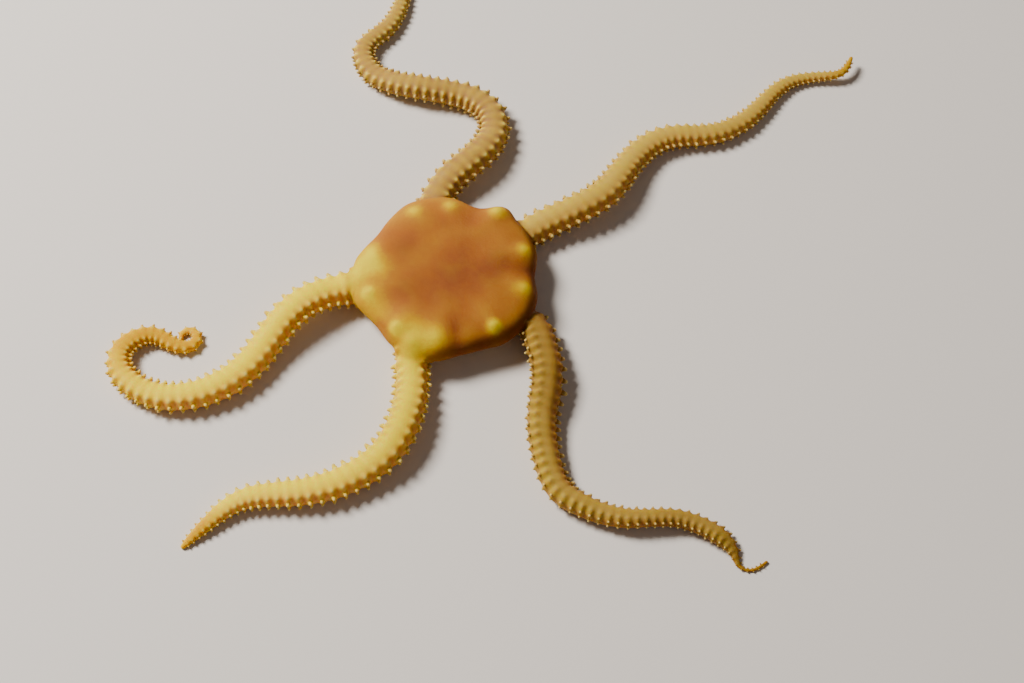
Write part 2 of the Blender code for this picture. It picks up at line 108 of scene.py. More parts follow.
def squared_ring(around: Array, power: float) -> Array:
    """How far out a ring that is squarer than a circle lies, at angles in radians."""
    return (np.abs(np.cos(around)) ** power + np.abs(np.sin(around)) ** power) ** (-1 / power)


def upright_turn(turn: float) -> Array:
    """The matrix of a turn about the upright, in radians."""
    return np.array([[math.cos(turn), -math.sin(turn), 0], [math.sin(turn), math.cos(turn), 0], [0, 0, 1]])


def lengths_along(points: Array) -> Array:
    """How far each point lies from the first, along the line through all of them."""
    return np.concatenate([[0.0], np.cumsum(np.linalg.norm(np.diff(points, axis=0), axis=1))])


def spline_line(points: Sequence[Sequence[float]], step: float) -> Array:
    """Points about a step apart along the natural cubic spline through plan positions.

    Args:
        points: The plan positions that the line passes.
        step: The distance between the points that are returned.

    Returns:
        An array of plan positions.
    """
    points = np.array(points, float)
    knots = lengths_along(points)
    spans = np.diff(knots)
    count = len(points)
    system = np.eye(count)
    right = np.zeros_like(points)
    for i in range(1, count - 1):
        system[i, i - 1 : i + 2] = spans[i - 1], 2 * (spans[i - 1] + spans[i]), spans[i]
        slope_after = (points[i + 1] - points[i]) / spans[i]
        slope_before = (points[i] - points[i - 1]) / spans[i - 1]
        right[i] = 6 * (slope_after - slope_before)
    second = np.linalg.solve(system, right)
    at = np.arange(0.0, knots[-1], step)
    span = np.clip(np.searchsorted(knots, at, side="right") - 1, 0, count - 2)
    ahead = ((at - knots[span]) / spans[span])[:, None]
    behind = 1 - ahead
    squared = (spans[span] ** 2)[:, None] / 6
    bent = (behind**3 - behind) * second[span] + (ahead**3 - ahead) * second[span + 1]
    return behind * points[span] + ahead * points[span + 1] + squared * bent


@dataclass(frozen=True)
class Hump:
    """A stretch of an arm that stands a little off the floor: its middle and half length along the arm."""

    at: float
    reach: float
    height: float


class Joining(Enum):
    """How an arm leaves the disc."""

    UNDER_RIM = "under the rim, with a crease"
    FLOWING = "with the disc's skin running on over it"


@dataclass(frozen=True)
class ArmPlan:
    """One arm as it lies: its bearing on the disc, its way over the floor and the shape of its end."""

    name: str
    bearing: float
    waypoints: tuple[tuple[float, float], ...]
    humps: tuple[Hump, ...]
    joining: Joining
    taper: float
    ripe_tip: float
    # Shade painted over the whole arm, near its root and three quarters out; below 0 the arm takes painted
    # light instead.
    painted_shade: tuple[float, float] = (0.0, 0.0)
    tip_taper: float = 0.85
    curl_turn: float = 0.0
    thread: float = 0.0
    roll: float = 0.0
    spine_scales: tuple[float, float] = (1.0, 1.0)


@dataclass(frozen=True)
class ArmSizes:
    """The sizes that all five arms share, the same as in the solids."""

    start: float = 5.2
    disc_radius: float = 14.3
    mouth_width: float = 3.0
    width: float = 4.3
    tip_width: float = 0.6
    root_taper: float = 0.7
    height_share: float = 0.94
    stump_width: float = 2.4
    stump_slope: float = 7.0
    thread_width: float = 0.46
    curl_radius: float = 1.8
    curl_end_radius: float = 0.85


ARM_PLANS = (
    ArmPlan(
        "arm_a",
        106.0,
        (
            (-2.6, 14.0), (-0.6, 18.7), (4.0, 23.5), (7.0, 29.0), (6.3, 33.7), (2.4, 36.8), (-4.0, 38.1),
            (-10.0, 39.8), (-14.1, 43.0), (-15.0, 47.5), (-11.7, 51.7), (-9.4, 56.6), (-9.0, 61.0),
            (-11.0, 65.5), (-11.6, 70.0), (-9.6, 73.8),
        ),
        (Hump(20.0, 10.0, 1.0), Hump(46.0, 9.0, 0.8)),
        Joining.UNDER_RIM,
        taper=1.75,
        ripe_tip=10.0,
        painted_shade=(0.92, 1.0),
    ),
    ArmPlan(
        "arm_b",
        35.0,
        (
            (13.1, 9.8), (20.3, 13.5), (25.0, 16.6), (27.5, 20.2), (30.9, 25.4), (35.9, 28.6), (42.0, 29.2),
            (46.8, 31.0), (51.2, 35.0), (55.9, 40.1), (61.8, 41.7), (65.4, 42.0), (67.5, 45.3),
        ),
        (Hump(24.0, 13.0, 1.2), Hump(80.0, 12.0, 1.6)),
        Joining.UNDER_RIM,
        taper=1.55,
        ripe_tip=8.0,
        painted_shade=(0.05, 0.25),
    ),
    ArmPlan(
        "arm_c",
        -35.0,
        (
            (12.8, -7.4), (14.5, -11.5), (15.3, -17.0), (14.4, -24.0), (15.1, -30.1), (17.0, -35.2),
            (21.2, -38.0), (27.0, -39.7), (34.1, -39.6), (39.2, -41.7), (42.0, -44.9), (42.7, -46.6),
            (43.7, -47.1), (46.8, -45.6),
        ),
        (Hump(18.0, 9.0, 0.9), Hump(52.0, 8.0, 0.6)),
        Joining.UNDER_RIM,
        taper=1.7,
        ripe_tip=8.0,
        painted_shade=(0.0, 0.0),
        thread=3.6,
        roll=24.0,
        spine_scales=(1.45, 0.72),
    ),
    ArmPlan(
        "arm_d",
        -108.0,
        (
            (-5.0, -13.0), (-5.0, -17.5), (-5.6, -23.1), (-8.1, -29.0), (-12.5, -32.7), (-18.0, -35.0),
            (-24.0, -35.8), (-29.3, -36.6), (-33.2, -39.4), (-37.6, -43.8),
        ),
        (Hump(22.0, 10.0, 0.8),),
        Joining.FLOWING,
        taper=3.1,
        ripe_tip=9.0,
        painted_shade=(-1.0, -0.8),
    ),
    ArmPlan(
        "arm_e",
        186.0,
        (
            (-14.0, -1.0), (-18.5, -2.2), (-22.3, -4.5), (-25.7, -8.2), (-28.9, -13.1), (-32.5, -17.0),
            (-37.1, -19.3), (-42.0, -19.8), (-46.5, -18.1), (-49.5, -14.8), (-49.7, -11.8), (-47.9, -9.6),
            (-44.9, -8.8), (-42.3, -10.0), (-41.2, -10.5), (-40.2, -10.7),
        ),
        (Hump(18.0, 11.0, 1.4),),
        Joining.FLOWING,
        taper=2.3,
        tip_taper=0.8,
        ripe_tip=34.0,
        painted_shade=(-1.0, -1.0),
        curl_turn=310.0,
    ),
)


class ArmPath:
    """The line along an arm's foot, measured by distance from its inner end."""

    def __init__(self, plan: ArmPlan, sizes: ArmSizes) -> None:
        """Lays the line out.

        Args:
            plan: The arm as it lies.
            sizes: The sizes that all arms share.
        """
        self.plan = plan
        self.sizes = sizes
        bearing = math.radians(plan.bearing)
        out = np.array([math.cos(bearing), math.sin(bearing)])
        inner = [out * sizes.start, out * (sizes.start + sizes.disc_radius) / 2]
        line = self.with_curl(spline_line([*inner, *plan.waypoints], LINE_STEP))
        self.distance = lengths_along(line)
        self.length = float(self.distance[-1])
        self.line = line
        self.heading = np.unwrap(np.arctan2(*np.gradient(line, axis=0).T[::-1]))
        self.bend = np.gradient(self.heading, self.distance)

    def with_curl(self, line: Array) -> Array:
        """Carries a line on into a flat curl to the left that tightens towards its end.

        Args:
            line: Plan positions a step apart.

        Returns:
            The line with its curl, or the line itself where the arm has none.
        """
        turn = math.radians(self.plan.curl_turn)
        heading = math.atan2(*(line[-1] - line[-2])[::-1])
        here = line[-1]
        more = [line]
        turned = 0.0
        while turned < turn:
            radius = self.sizes.curl_radius
            radius += (self.sizes.curl_end_radius - radius) * turned / turn
            turned += LINE_STEP / radius
            here = here + LINE_STEP * np.array([math.cos(heading + turned), math.sin(heading + turned)])
            more.append(here[None])
        return np.concatenate(more)

    def lift(self, at: Array) -> Array:
        """Height of the arm's foot above the floor at distances along it."""
        height = np.zeros_like(at, float)
        for hump in self.plan.humps:
            away = np.minimum(1.0, np.abs(at - hump.at) / hump.reach)
            height += hump.height * np.cos(away * math.pi / 2) ** 2
        return height

    def foot(self, at: Array) -> Array:
        """Points of the arm's foot at distances along it."""
        x = np.interp(at, self.distance, self.line[:, 0])
        y = np.interp(at, self.distance, self.line[:, 1])
        return np.stack([x, y, self.lift(at)], -1)

    def left(self, at: Array) -> Array:
        """Level directions to the arm's left at distances along it."""
        heading = np.interp(at, self.distance, self.heading)
        return np.stack([-np.sin(heading), np.cos(heading), np.zeros_like(heading)], -1)

    def ahead(self, at: Array) -> Array:
        """Level directions along the arm at distances along it."""
        heading = np.interp(at, self.distance, self.heading)
        return np.stack([np.cos(heading), np.sin(heading), np.zeros_like(heading)], -1)

    def width(self, at: Array) -> Array:
        """Width of the arm's body, without its spines.

        Args:
            at: Distances along the arm.

        Returns:
            The width at each distance.
        """
        sizes = self.sizes
        edge = sizes.disc_radius - sizes.start
        inner_share = np.clip(at / edge, 0.0, 1.0) ** sizes.root_taper
        inner = sizes.mouth_width + (sizes.width - sizes.mouth_width) * inner_share
        full = self.length - self.plan.thread
        share = np.clip((at - edge) / (full - edge), 0.0, 1.0)
        narrowing = (1 - share**self.plan.taper) ** self.plan.tip_taper
        outer = sizes.tip_width + (sizes.width - sizes.tip_width) * narrowing
        if self.plan.thread:
            # A regrown tip starts from an arm that is still thick there.
            stump = np.maximum(outer, sizes.stump_width)
            outer = stump + (sizes.thread_width - stump) * smooth_step(full - sizes.stump_slope, full, at)
        return np.where(at < edge, inner, outer)


@dataclass(frozen=True)
class SpineRow:
    """One row along both sides of an arm: the knobs of skin, and the spines on them if it has any."""

    angle: float
    knob: float
    knob_spread: float
    aim: float = 0.0
    length: float = 0.0
    radius: float = 0.0


@dataclass(frozen=True)
class Spine:
    """Where one spine stands, which way it points and how large it is."""

    root: Array
    aim: Array
    length: float
    radius: float
    along: float
    around: float


@dataclass(frozen=True)
class ArmTones:
    """Where the colours of an arm's skin lie around it, in degrees above its sides, and their shares.

    The flank's colour is partly the skin's own and partly painted shade: it reaches higher and is stronger
    on the side away from the light. The crest is a painted highlight along the back, and the bands are
    painted light between the knobs, on the lit side only.
    """

    flank_from: float = 60.0
    flank_shaded: float = 24.0
    flank_to: float = 16.0
    flank_least: float = 0.35
    flank_painted_shade: float = 0.6
    crest: float = 0.12
    crest_at: float = 78.0
    crest_spread: float = 24.0
    band: float = 0.5
    band_at: float = 52.0
    band_spread: float = 15.0
    lit: float = 0.3
    painted_shade_span: tuple[float, float] = (0.1, 0.75)
    painted_shade_dims: float = 0.7
    ripe_share: float = 0.35


@dataclass
class ArmForm:
    """The relief of one arm's skin, and the places of what grows from it."""

    path: ArmPath
    index: int
    first_step: float = 1.68
    last_step: float = 0.7
    step_power: float = 1.15
    first_segment: float = 10.1
    first_flowing: float = 7.5
    neck_from: float = 8.3
    neck_slope: float = 2.0
    neck_flare: float = 0.1
    studs_from: float = 11.5
    studs_to: float = 14.5
    ring_power: float = 2.35
    foot_share: float = 0.13
    end_round: float = 0.34
    comb_height: float = 0.05
    comb_spread: float = 0.24
    swelling: float = 0.035
    waves: float = 0.045
    spine_end: float = 0.5
    sweep: float = 13.0
    sink: float = 0.4
    spot_size: float = 0.27
    vary: float = 0.13
    joint: float = 9.6
    begin: tuple[float, float] = (1.4, 0.3)
    knob_spread_power: float = 0.6
    knob_power: float = 0.9
    comb_top: tuple[float, float] = (44.0, 22.0)
    comb_foot: tuple[float, float] = (-62.0, -40.0)
    back_from: tuple[float, float] = (48.0, 80.0)
    under_from: tuple[float, float] = (-50.0, -75.0)
    plate_height: float = 0.07
    plate_gap: float = 0.12
    spine_turn: float = 3.0
    spine_rise: float = 7.0
    spine_sweep: float = 8.0
    least_room: float = 0.3
    least_length: float = 0.24
    floor_gap: float = 0.06
    tones: ArmTones = ArmTones()
    rows: tuple[SpineRow, ...] = (
        SpineRow(43.0, 0.50, 0.50),
        SpineRow(14.0, 0.46, 0.54, aim=16.0, length=0.44, radius=0.44),
        SpineRow(-17.0, 0.34, 0.48, aim=-12.0, length=0.34, radius=0.37),
    )
    places: Array = field(init=False)
    drawn: Array = field(init=False)
    roll: float = field(init=False)

    def __post_init__(self) -> None:
        """Sets out the arm's segments and draws how each one differs."""
        if self.flowing:
            self.first_segment = self.first_flowing
        places = [self.first_segment]
        full = self.path.length - self.spine_end
        while places[-1] < full:
            places.append(places[-1] + float(self.step(np.array(places[-1]))))
        inner = np.arange(places[0] - self.first_step, 0.0, -self.first_step)[::-1]
        self.places = np.concatenate([inner, places[:-1]])
        draw = np.random.default_rng(SEED + self.index)
        self.drawn = draw.uniform(-1, 1, (len(self.places) + 1, len(self.rows), 2, 3))
        self.roll = math.radians(self.path.plan.roll)

    @property
    def flowing(self) -> bool:
        """Whether the disc's skin runs on over the arm."""
        return self.path.plan.joining is Joining.FLOWING

    def share(self, at: Array) -> Array:
        """The arm's width as a share of its width at the disc's edge."""
        return self.path.width(at) / self.path.sizes.width

    def neck(self, at: Array) -> Array:
        """How far the arm's root is spread towards the disc at distances along it, from 0 to 1."""
        return np.exp(-np.maximum(0.0, at - self.neck_from) / self.neck_slope)

    def room(self, at: Array, side: Array | int) -> Array:
        """How much room there is for knobs inside a tight bend, from 0 to 1."""
        bend = np.interp(at, self.path.distance, self.path.bend) * np.where(side == 0, 1.0, -1.0)
        free = 1 / np.maximum(bend, 0.05) - self.path.width(at) / 2
        return smooth_step(0.1, 1.8, free)

    def late(self, at: Array) -> Array:
        """How much of the knobs is raised only once the skin is joined, from 0 to 1."""
        return smooth_step(self.studs_to, self.studs_from, at) if self.flowing else np.zeros_like(at)

    def step(self, at: Array) -> Array:
        """The length of a segment at distances along the arm."""
        return self.last_step + (self.first_step - self.last_step) * self.share(at) ** self.step_power

    def outline(self, at: Array, around: Array) -> tuple[Array, Array]:
        """The section of the arm without any relief.

        Args:
            at: Distances along the arm.
            around: Angles around it in radians, 0 on the left and a quarter turn on the back.

        Returns:
            How far each point lies to the left, and how high above the foot.
        """
        half = self.path.width(at) / 2
        tall = half * self.path.sizes.height_share
        if self.flowing:
            half = half + self.neck_flare * self.neck(at)
        reach = squared_ring(around, self.ring_power)
        cap = np.clip((at - (self.path.length - self.end_round)) / self.end_round, 0.0, 1.0)
        closing = np.sqrt(1 - cap**2)
        across = half * reach * np.cos(around) * closing
        height = tall * (1 + reach * np.sin(around) * closing)
        return across, self.flattened(height, tall)

    def flattened(self, height: Array, tall: Array) -> Array:
        """Heights with the flat foot cut and the back kept where it was."""
        cut = self.foot_share * tall
        return (np.maximum(height, cut) - cut) * 2 * tall / (2 * tall - cut)

    def segment(self, at: Array) -> tuple[Array, Array]:
        """The nearest segment and how far off its middle each place is, in segments."""
        count = np.interp(at, self.places, np.arange(len(self.places)), left=-1.0, right=-1.0)
        nearest = np.rint(count).astype(int)
        away = np.where(count < 0, 1.0, count - nearest)
        return np.maximum(nearest, 0), away

    def knobs(self, at: Array, around: Array) -> Array:
        """Height of the knobs that carry the spines.

        Args:
            at: Distances along the arm.
            around: Angles around it in radians.

        Returns:
            The height that the knobs add at each place.
        """
        nearest, away = self.segment(at)
        share = self.share(at)
        around = around + self.roll
        level = level_of(around)
        side = (np.cos(around) < 0).astype(int)
        half = self.path.width(at) / 2
        step = self.step(at)
        height = np.zeros_like(share)
        for i, row in enumerate(self.rows):
            drawn = self.drawn[nearest, i, side]
            aside = (level - math.radians(row.angle)) * half
            along = away * step
            spread = row.knob_spread * share**self.knob_spread_power
            size = row.knob * share**self.knob_power * (1 + self.vary * drawn[..., 0])
            height += size * mound(aside, along, spread)
        height *= self.room(at, side)
        return height * self.begun(at)

    def begun(self, at: Array) -> Array:
        """How fully the knobs are there at distances along the arm, from 0 to 1."""
        start, end = self.begin
        return smooth_step(self.first_segment - start, self.first_segment - end, at)

    def relief(self, at: Array, around: Array, knobs: Array | float) -> Array:
        """How far the skin stands out from the plain section.

        Args:
            at: Distances along the arm.
            around: Angles around it in radians.
            knobs: How much of the knobs is raised.

        Returns:
            The distance outwards at each place.
        """
        _, away = self.segment(at)
        share = self.share(at)
        level = np.degrees(level_of(around + self.roll))
        flank = smooth_step(*self.comb_top, level) * smooth_step(*self.comb_foot, level)
        comb = self.comb_height * share * flank * bell(away, self.comb_spread)
        comb *= smooth_step(self.first_segment - 2.0, self.first_segment, at)
        back = smooth_step(*self.back_from, level)
        swelling = self.swelling * share * back * np.cos(2 * math.pi * away)
        # Two waves of unlike lengths, turned differently on each arm.
        turn = self.index * 1.7
        wave = np.sin(at * 0.63 + turn) * np.cos(around + at * 0.21) + np.sin(at * 1.31 - around + turn)
        under = smooth_step(*self.under_from, np.degrees(level_of(around)))
        gaps = bell(np.abs(away) - 0.5, self.plate_gap)
        plates = self.plate_height * share * under * (1 - 2 * gaps)
        waves = self.waves * share * wave * (1 - under) * 0.5
        return comb + swelling + waves + plates + knobs * self.knobs(at, around)

    def surface(self, step: float, columns: int) -> tuple[Array, Array]:
        """The arm's skin as a grid of points.

        Args:
            step: The distance between rings.
            columns: The number of points in a ring.

        Returns:
            The points as rings, and the closing points of both ends.
        """
        length = self.path.length
        turns = np.linspace(0, math.pi / 2, 8)[:-1]
        closing = length - self.end_round * (1 - np.sin(turns))
        at = np.concatenate([np.arange(0, length - self.end_round, step), closing])
        around = np.linspace(0, 2 * math.pi, columns, endpoint=False)
        at, around = np.meshgrid(at, around, indexing="ij")
        rings = self.points(at, around, 1 - self.late(at))
        return rings, np.stack([rings[0].mean(axis=0), self.path.foot(np.array(length))])

    def points(self, at: Array, around: Array, knobs: Array | float = 1.0) -> Array:
        """Points of the skin.

        Args:
            at: Distances along the arm.
            around: Angles around it in radians.
            knobs: How much of the knobs is raised.

        Returns:
            The points.
        """
        across, height = self.outline(at, around)
        out = self.relief(at, around, knobs) * smooth_step(0.0, 0.6, self.path.length - at)
        across = across + out * np.cos(around)
        height = np.maximum(height + out * np.sin(around), 0.0)
        lifted = height[..., None] * np.array([0.0, 0.0, 1.0])
        return self.path.foot(at) + self.path.left(at) * across[..., None] + lifted

    def marks(
        self, at: Array, around: Array, outside: Array, dark_side: float
    ) -> dict[str, Array]:
        """What the arm's skin is like at places on it, with its painted light and shade.

        Args:
            at: Distances along the arm.
            around: Angles around it in radians.
            outside: How far the places lie outside the arm's plain section.
            dark_side: The bearing of the side away from the light in radians, where shade is painted.

        Returns:
            The marks by name.
        """
        path = self.path
        tones = self.tones
        rise = np.degrees(level_of(around))
        _, away = self.segment(at)
        heading = np.interp(at, path.distance, path.heading)
        # Which side of the arm faces away from the light, for the painted shade and light below.
        shaded = np.sin(dark_side - heading) * np.sign(np.cos(around))
        # The flank's colour is partly the skin's own; on the side away from the light it reaches higher and
        # is stronger: painted shade.
        start = tones.flank_from + tones.flank_shaded * smooth_step(-0.1, 0.6, shaded)
        strength = tones.flank_least + tones.flank_painted_shade * smooth_step(-0.7, 0.5, shaded)
        flank = smooth_step(start, tones.flank_to, rise) * strength
        between = 0.5 - 0.5 * np.cos(2 * math.pi * away)
        # Painted highlight along the crest and painted light in the bands between the knobs, kept to the lit
        # side.
        light = tones.crest * bell(rise - tones.crest_at, tones.crest_spread)
        light += tones.band * between * bell(rise - tones.band_at, tones.band_spread)
        light *= smooth_step(tones.lit, -tones.lit, shaded)
        # Painted shade over the whole arm; below 0 it turns into painted light.
        painted_shade = np.interp(at / path.length, tones.painted_shade_span, path.plan.painted_shade)
        light = light * (1 - tones.painted_shade_dims * painted_shade) + np.maximum(0.0, -painted_shade)
        spot = self.spots(at, around) * smooth_step(1.0, 0.7, outside)
        ripe = path.plan.ripe_tip
        end = smooth_step(ripe, ripe * tones.ripe_share, path.length - at)
        return {"light": light, "flank": flank, "painted_shade": painted_shade, "spot": spot, "end": end}

    def from_joint(self, points: Array) -> Array:
        """Plan distance of points from where the arm leaves the disc."""
        middle = self.path.foot(np.array(self.joint))
        return np.hypot(points[:, 0] - middle[0], points[:, 1] - middle[1])

    def spots(self, at: Array, around: Array) -> Array:
        """How far places lie on the pale tops of the knobs that bear no spine, from 0 to 1."""
        _, away = self.segment(at)
        around = around + self.roll
        level = level_of(around)
        half = self.path.width(at) / 2
        spot = np.zeros_like(half)
        for row in self.rows:
            if not row.length:
                aside = (level - math.radians(row.angle)) * half
                reach = np.hypot(aside, away * self.step(at)) / (self.spot_size * self.share(at) ** 0.6)
                spot = np.maximum(spot, smooth_step(1.25, 0.6, reach))
        return spot * self.begun(at)

    def spines(self) -> list[Spine]:
        """Every spine of the arm.

        Returns:
            The spines, row by row along the arm.
        """
        made = []
        last = self.path.length - self.path.plan.thread * 0.15 - self.spine_end
        for k, place in enumerate(self.places):
            if not self.first_segment - 0.1 <= place <= last:
                continue
            for i, row in enumerate(self.rows):
                if row.length:
                    made += [self.spine(k, float(place), i, row, side) for side in (0, 1)]
        return made

    def spine(self, k: int, place: float, i: int, row: SpineRow, side: int) -> Spine:
        """One spine on its knob.

        Args:
            k: The segment's number.
            place: The segment's distance along the arm.
            i: The row's number.
            row: The row.
            side: 0 on the left and 1 on the right.

        Returns:
            The spine.
        """
        drawn = self.drawn[k, i, side]
        at = np.array(place)
        angle = math.radians(row.angle + self.spine_turn * drawn[1])
        around = np.array((angle if side == 0 else math.pi - angle) - self.roll)
        share = float(self.share(at))
        sign = 1 if side == 0 else -1
        outward = self.path.left(at) * sign
        sweep = math.radians(self.sweep + self.spine_sweep * drawn[2])
        rise = math.radians(row.aim + self.spine_rise * drawn[1]) - self.roll * sign
        room = self.least_room + (1 - self.least_room) * float(self.room(at, side))
        scale = self.path.plan.spine_scales[side]
        shrunk = self.least_length + (1 - self.least_length) * share
        length = row.length * scale * room * shrunk * (1 + self.vary * drawn[0])
        radius = row.radius * math.sqrt(scale) * share**0.7 * (1 + 0.5 * self.vary * drawn[0])
        root = self.points(at, around)
        # The spine's point stays clear of the floor.
        drop = max(0.0, float(root[2]) - self.floor_gap) / length
        rise = max(rise, -math.asin(min(1.0, drop)))
        level = outward * math.cos(sweep) + self.path.ahead(at) * math.sin(sweep)
        aim = level * math.cos(rise) + np.array([0.0, 0.0, math.sin(rise)])
        radius = min(radius, 0.9 * float(root[2]))
        sunk = radius * self.sink
        return Spine(root - aim * sunk, aim, length + sunk, radius, float(at), float(around))


@dataclass(frozen=True)
class Shield:
    """A soft swelling near the disc's edge, over one of the plates beside an arm."""

    bearing: float
    radius: float
    height: float
    spread: float
    bulge: float
    glow: float


@dataclass(frozen=True)
class Crease:
    """A fold that runs inwards from the disc's edge between two arms."""

    bearing: float
    depth: float
    width: float
    reach: float
    notch: float


@dataclass(frozen=True)
class Patch:
    """A soft patch on the disc's back that is lighter or darker than its surroundings."""

    x: float
    y: float
    spread: float
    amount: float


@dataclass(frozen=True)
class DiscForm:
    """The disc: its outline, the relief of its back and its underside with the mouth's pit."""

    radius: float = 14.3
    lobe: float = 0.55
    middle: float = 3.8
    top: float = 7.0
    under: float = 0.9
    power: float = 5.0
    pit_radius: float = 4.9
    pit_roof: float = 2.9
    # The bearing of the side away from the light, where shade is painted on the disc and the arms.
    dark_side: float = math.radians(-25.0)
    ridge_height: float = 0.12
    ridge_width: float = 1.7
    wave_height: float = 0.055
    base_tone: float = 0.30
    rim_tone: float = 0.17
    ridge_tone: float = 0.06
    crease_shade: float = 0.60
    shields: tuple[Shield, ...] = tuple(
        Shield(*row)
        for row in (
            (116.6, 11.8, 0.24, 1.25, 0.25, 0.40), (88.1, 11.6, 0.24, 1.2, 0.30, 0.36),
            (54.2, 13.2, 0.50, 1.35, 1.45, 0.52), (16.2, 12.5, 0.32, 1.3, 0.30, 0.42),
            (-16.0, 12.6, 0.30, 1.3, 0.30, 0.36), (-54.0, 12.7, 0.42, 1.05, 0.30, 0.78),
            (-96.6, 12.6, 0.14, 1.4, 0.20, 0.14), (-126.5, 12.7, 0.32, 0.80, 0.25, 0.66),
            (-161.0, 12.6, 0.32, 0.75, 0.25, 0.66), (169.1, 11.8, 0.18, 1.4, 0.25, 0.08),
        )
    )
    creases: tuple[Crease, ...] = tuple(
        Crease(*row)
        for row in (
            (70.5, 0.22, 2.4, 5.0, 0.30), (0.0, 0.15, 1.3, 2.0, 0.20),
            (-81.5, 0.20, 1.2, 4.6, 0.12), (-141.0, 0.14, 2.4, 4.0, 0.05),
            (146.0, 0.20, 2.4, 4.2, 0.30),
        )
    )
    # The lighter patches near the left rim are partly the skin's own colour and partly painted light on the
    # lit side.
    patches: tuple[Patch, ...] = tuple(
        Patch(*row)
        for row in (
            (-7.1, 3.1, 2.3, -0.20), (-5.4, 5.8, 1.8, -0.08), (-6.5, -4.4, 2.2, -0.18),
            (0.8, -2.0, 3.6, -0.22), (2.2, 2.2, 2.2, -0.10), (7.3, -0.8, 2.8, -0.28),
            (9.2, 1.8, 1.8, -0.18), (12.2, 0.2, 1.4, -0.22), (-0.3, 8.1, 1.6, -0.14),
            (4.0, 9.0, 2.0, -0.10), (1.6, -10.4, 1.3, -0.22), (-2.3, -6.6, 2.2, -0.06),
            (-1.8, 5.0, 2.0, 0.26), (-3.6, 1.4, 1.8, 0.20), (-6.4, 0.2, 1.8, 0.14),
            (-9.2, -0.1, 2.0, 0.22), (-11.0, 0.3, 1.8, 0.26), (-11.8, 3.9, 1.8, 0.36),
            (-12.8, 1.0, 1.8, 0.34), (-11.2, -2.0, 1.1, -0.08), (5.3, 2.6, 1.6, 0.08),
            (6.3, 6.4, 2.0, 0.12), (6.6, -6.2, 1.8, 0.10), (9.8, -3.9, 1.7, 0.14),
            (-10.6, -7.0, 3.0, 0.42), (-4.6, -10.5, 2.6, 0.24), (-1.0, -11.8, 1.8, 0.18),
        )
    )
    bearings: tuple[float, ...] = tuple(sorted(plan.bearing % 360 for plan in ARM_PLANS))

    def lobe_share(self, angle: Array) -> Array:
        """How far angles in radians lie from one arm to the next, from 0 to 1."""
        around = np.degrees(angle) % 360
        edges = [self.bearings[-1] - 360, *self.bearings, self.bearings[0] + 360]
        return np.interp(around, edges, np.arange(len(edges))) % 1

    def edge(self, angle: Array) -> Array:
        """Distance from the disc's middle to its edge at angles in radians."""
        reach = self.radius + self.lobe * np.cos(2 * math.pi * self.lobe_share(angle))
        for shield in self.shields:
            reach = reach + shield.bulge * bell(self.turned(angle, shield.bearing) * self.radius, 2.1)
        for crease in self.creases:
            aside = self.turned(angle, crease.bearing) * self.radius
            reach = reach - crease.notch * bell(aside, crease.width)
        return reach

    @staticmethod
    def turned(angle: Array, bearing: float) -> Array:
        """The turn in radians from a bearing to angles in radians, at most half a turn either way."""
        return (angle - math.radians(bearing) + math.pi) % (2 * math.pi) - math.pi

    def relief(self, x: Array, y: Array) -> Array:
        """What shields, ridges, creases and soft waves add to the height of the back.

        Args:
            x: Plan positions to the right.
            y: Plan positions to the back.

        Returns:
            The height to add at each place.
        """
        height = np.zeros_like(x)
        for shield in self.shields:
            along, aside = self.from_centre(x, y, shield.bearing)
            height += shield.height * mound(along - shield.radius, aside, shield.spread)
            inwards = smooth_step(shield.radius - 7.5, shield.radius - 1.5, along)
            inwards *= smooth_step(shield.radius + 1.5, shield.radius - 0.5, along)
            height += self.ridge_height * inwards * bell(aside, self.ridge_width)
        for depth in self.crease_depths(x, y):
            height -= depth
        waves = np.sin(0.71 * x + 0.38 * y + 0.8) * np.cos(0.55 * y - 0.31 * x + 0.4)
        waves += 0.6 * np.sin(1.07 * y + 0.52 * x + 2.1) * np.cos(0.93 * x - 0.2)
        return height + self.wave_height * waves

    def crease_depths(self, x: Array, y: Array) -> Iterator[Array]:
        """The depth of each crease in turn at plan positions."""
        for crease in self.creases:
            along, aside = self.from_centre(x, y, crease.bearing)
            inwards = smooth_step(self.radius - crease.reach - 2.5, self.radius - 1.5, along)
            yield crease.depth * inwards * bell(aside, crease.width)

    @staticmethod
    def from_centre(x: Array, y: Array, bearing: float) -> tuple[Array, Array]:
        """How far places lie out along a bearing, and aside from it."""
        turn = math.radians(bearing)
        along = x * math.cos(turn) + y * math.sin(turn)
        aside = y * math.cos(turn) - x * math.sin(turn)
        return along, np.where(along > 0, aside, np.hypot(x, y) + 99.0)

    def back(self, ring: Array, angle: Array) -> Array:
        """Points of the back at shares of the way to the edge and angles in radians."""
        reach = self.edge(angle) * ring
        x, y = reach * np.cos(angle), reach * np.sin(angle)
        height = self.middle + (self.top - self.middle) * np.sqrt(np.maximum(0.0, 1 - ring**self.power))
        relief = self.relief(x, y) * smooth_step(1.0, 0.93, ring)
        return np.stack([x, y, height + relief], -1)

    def belly(self, share: Array, angle: Array) -> Array:
        """Points of the underside, from the disc's edge at share 1 to the pit's lip at share 0."""
        edge = self.edge(angle)
        reach = self.pit_radius + (edge - self.pit_radius) * share
        x, y = reach * np.cos(angle), reach * np.sin(angle)
        fullness = np.sqrt(np.maximum(0.0, 1 - (reach / edge) ** self.power))
        height = self.middle + (self.under - self.middle) * fullness
        return np.stack([x, y, height + self.slits(x, y)], -1)

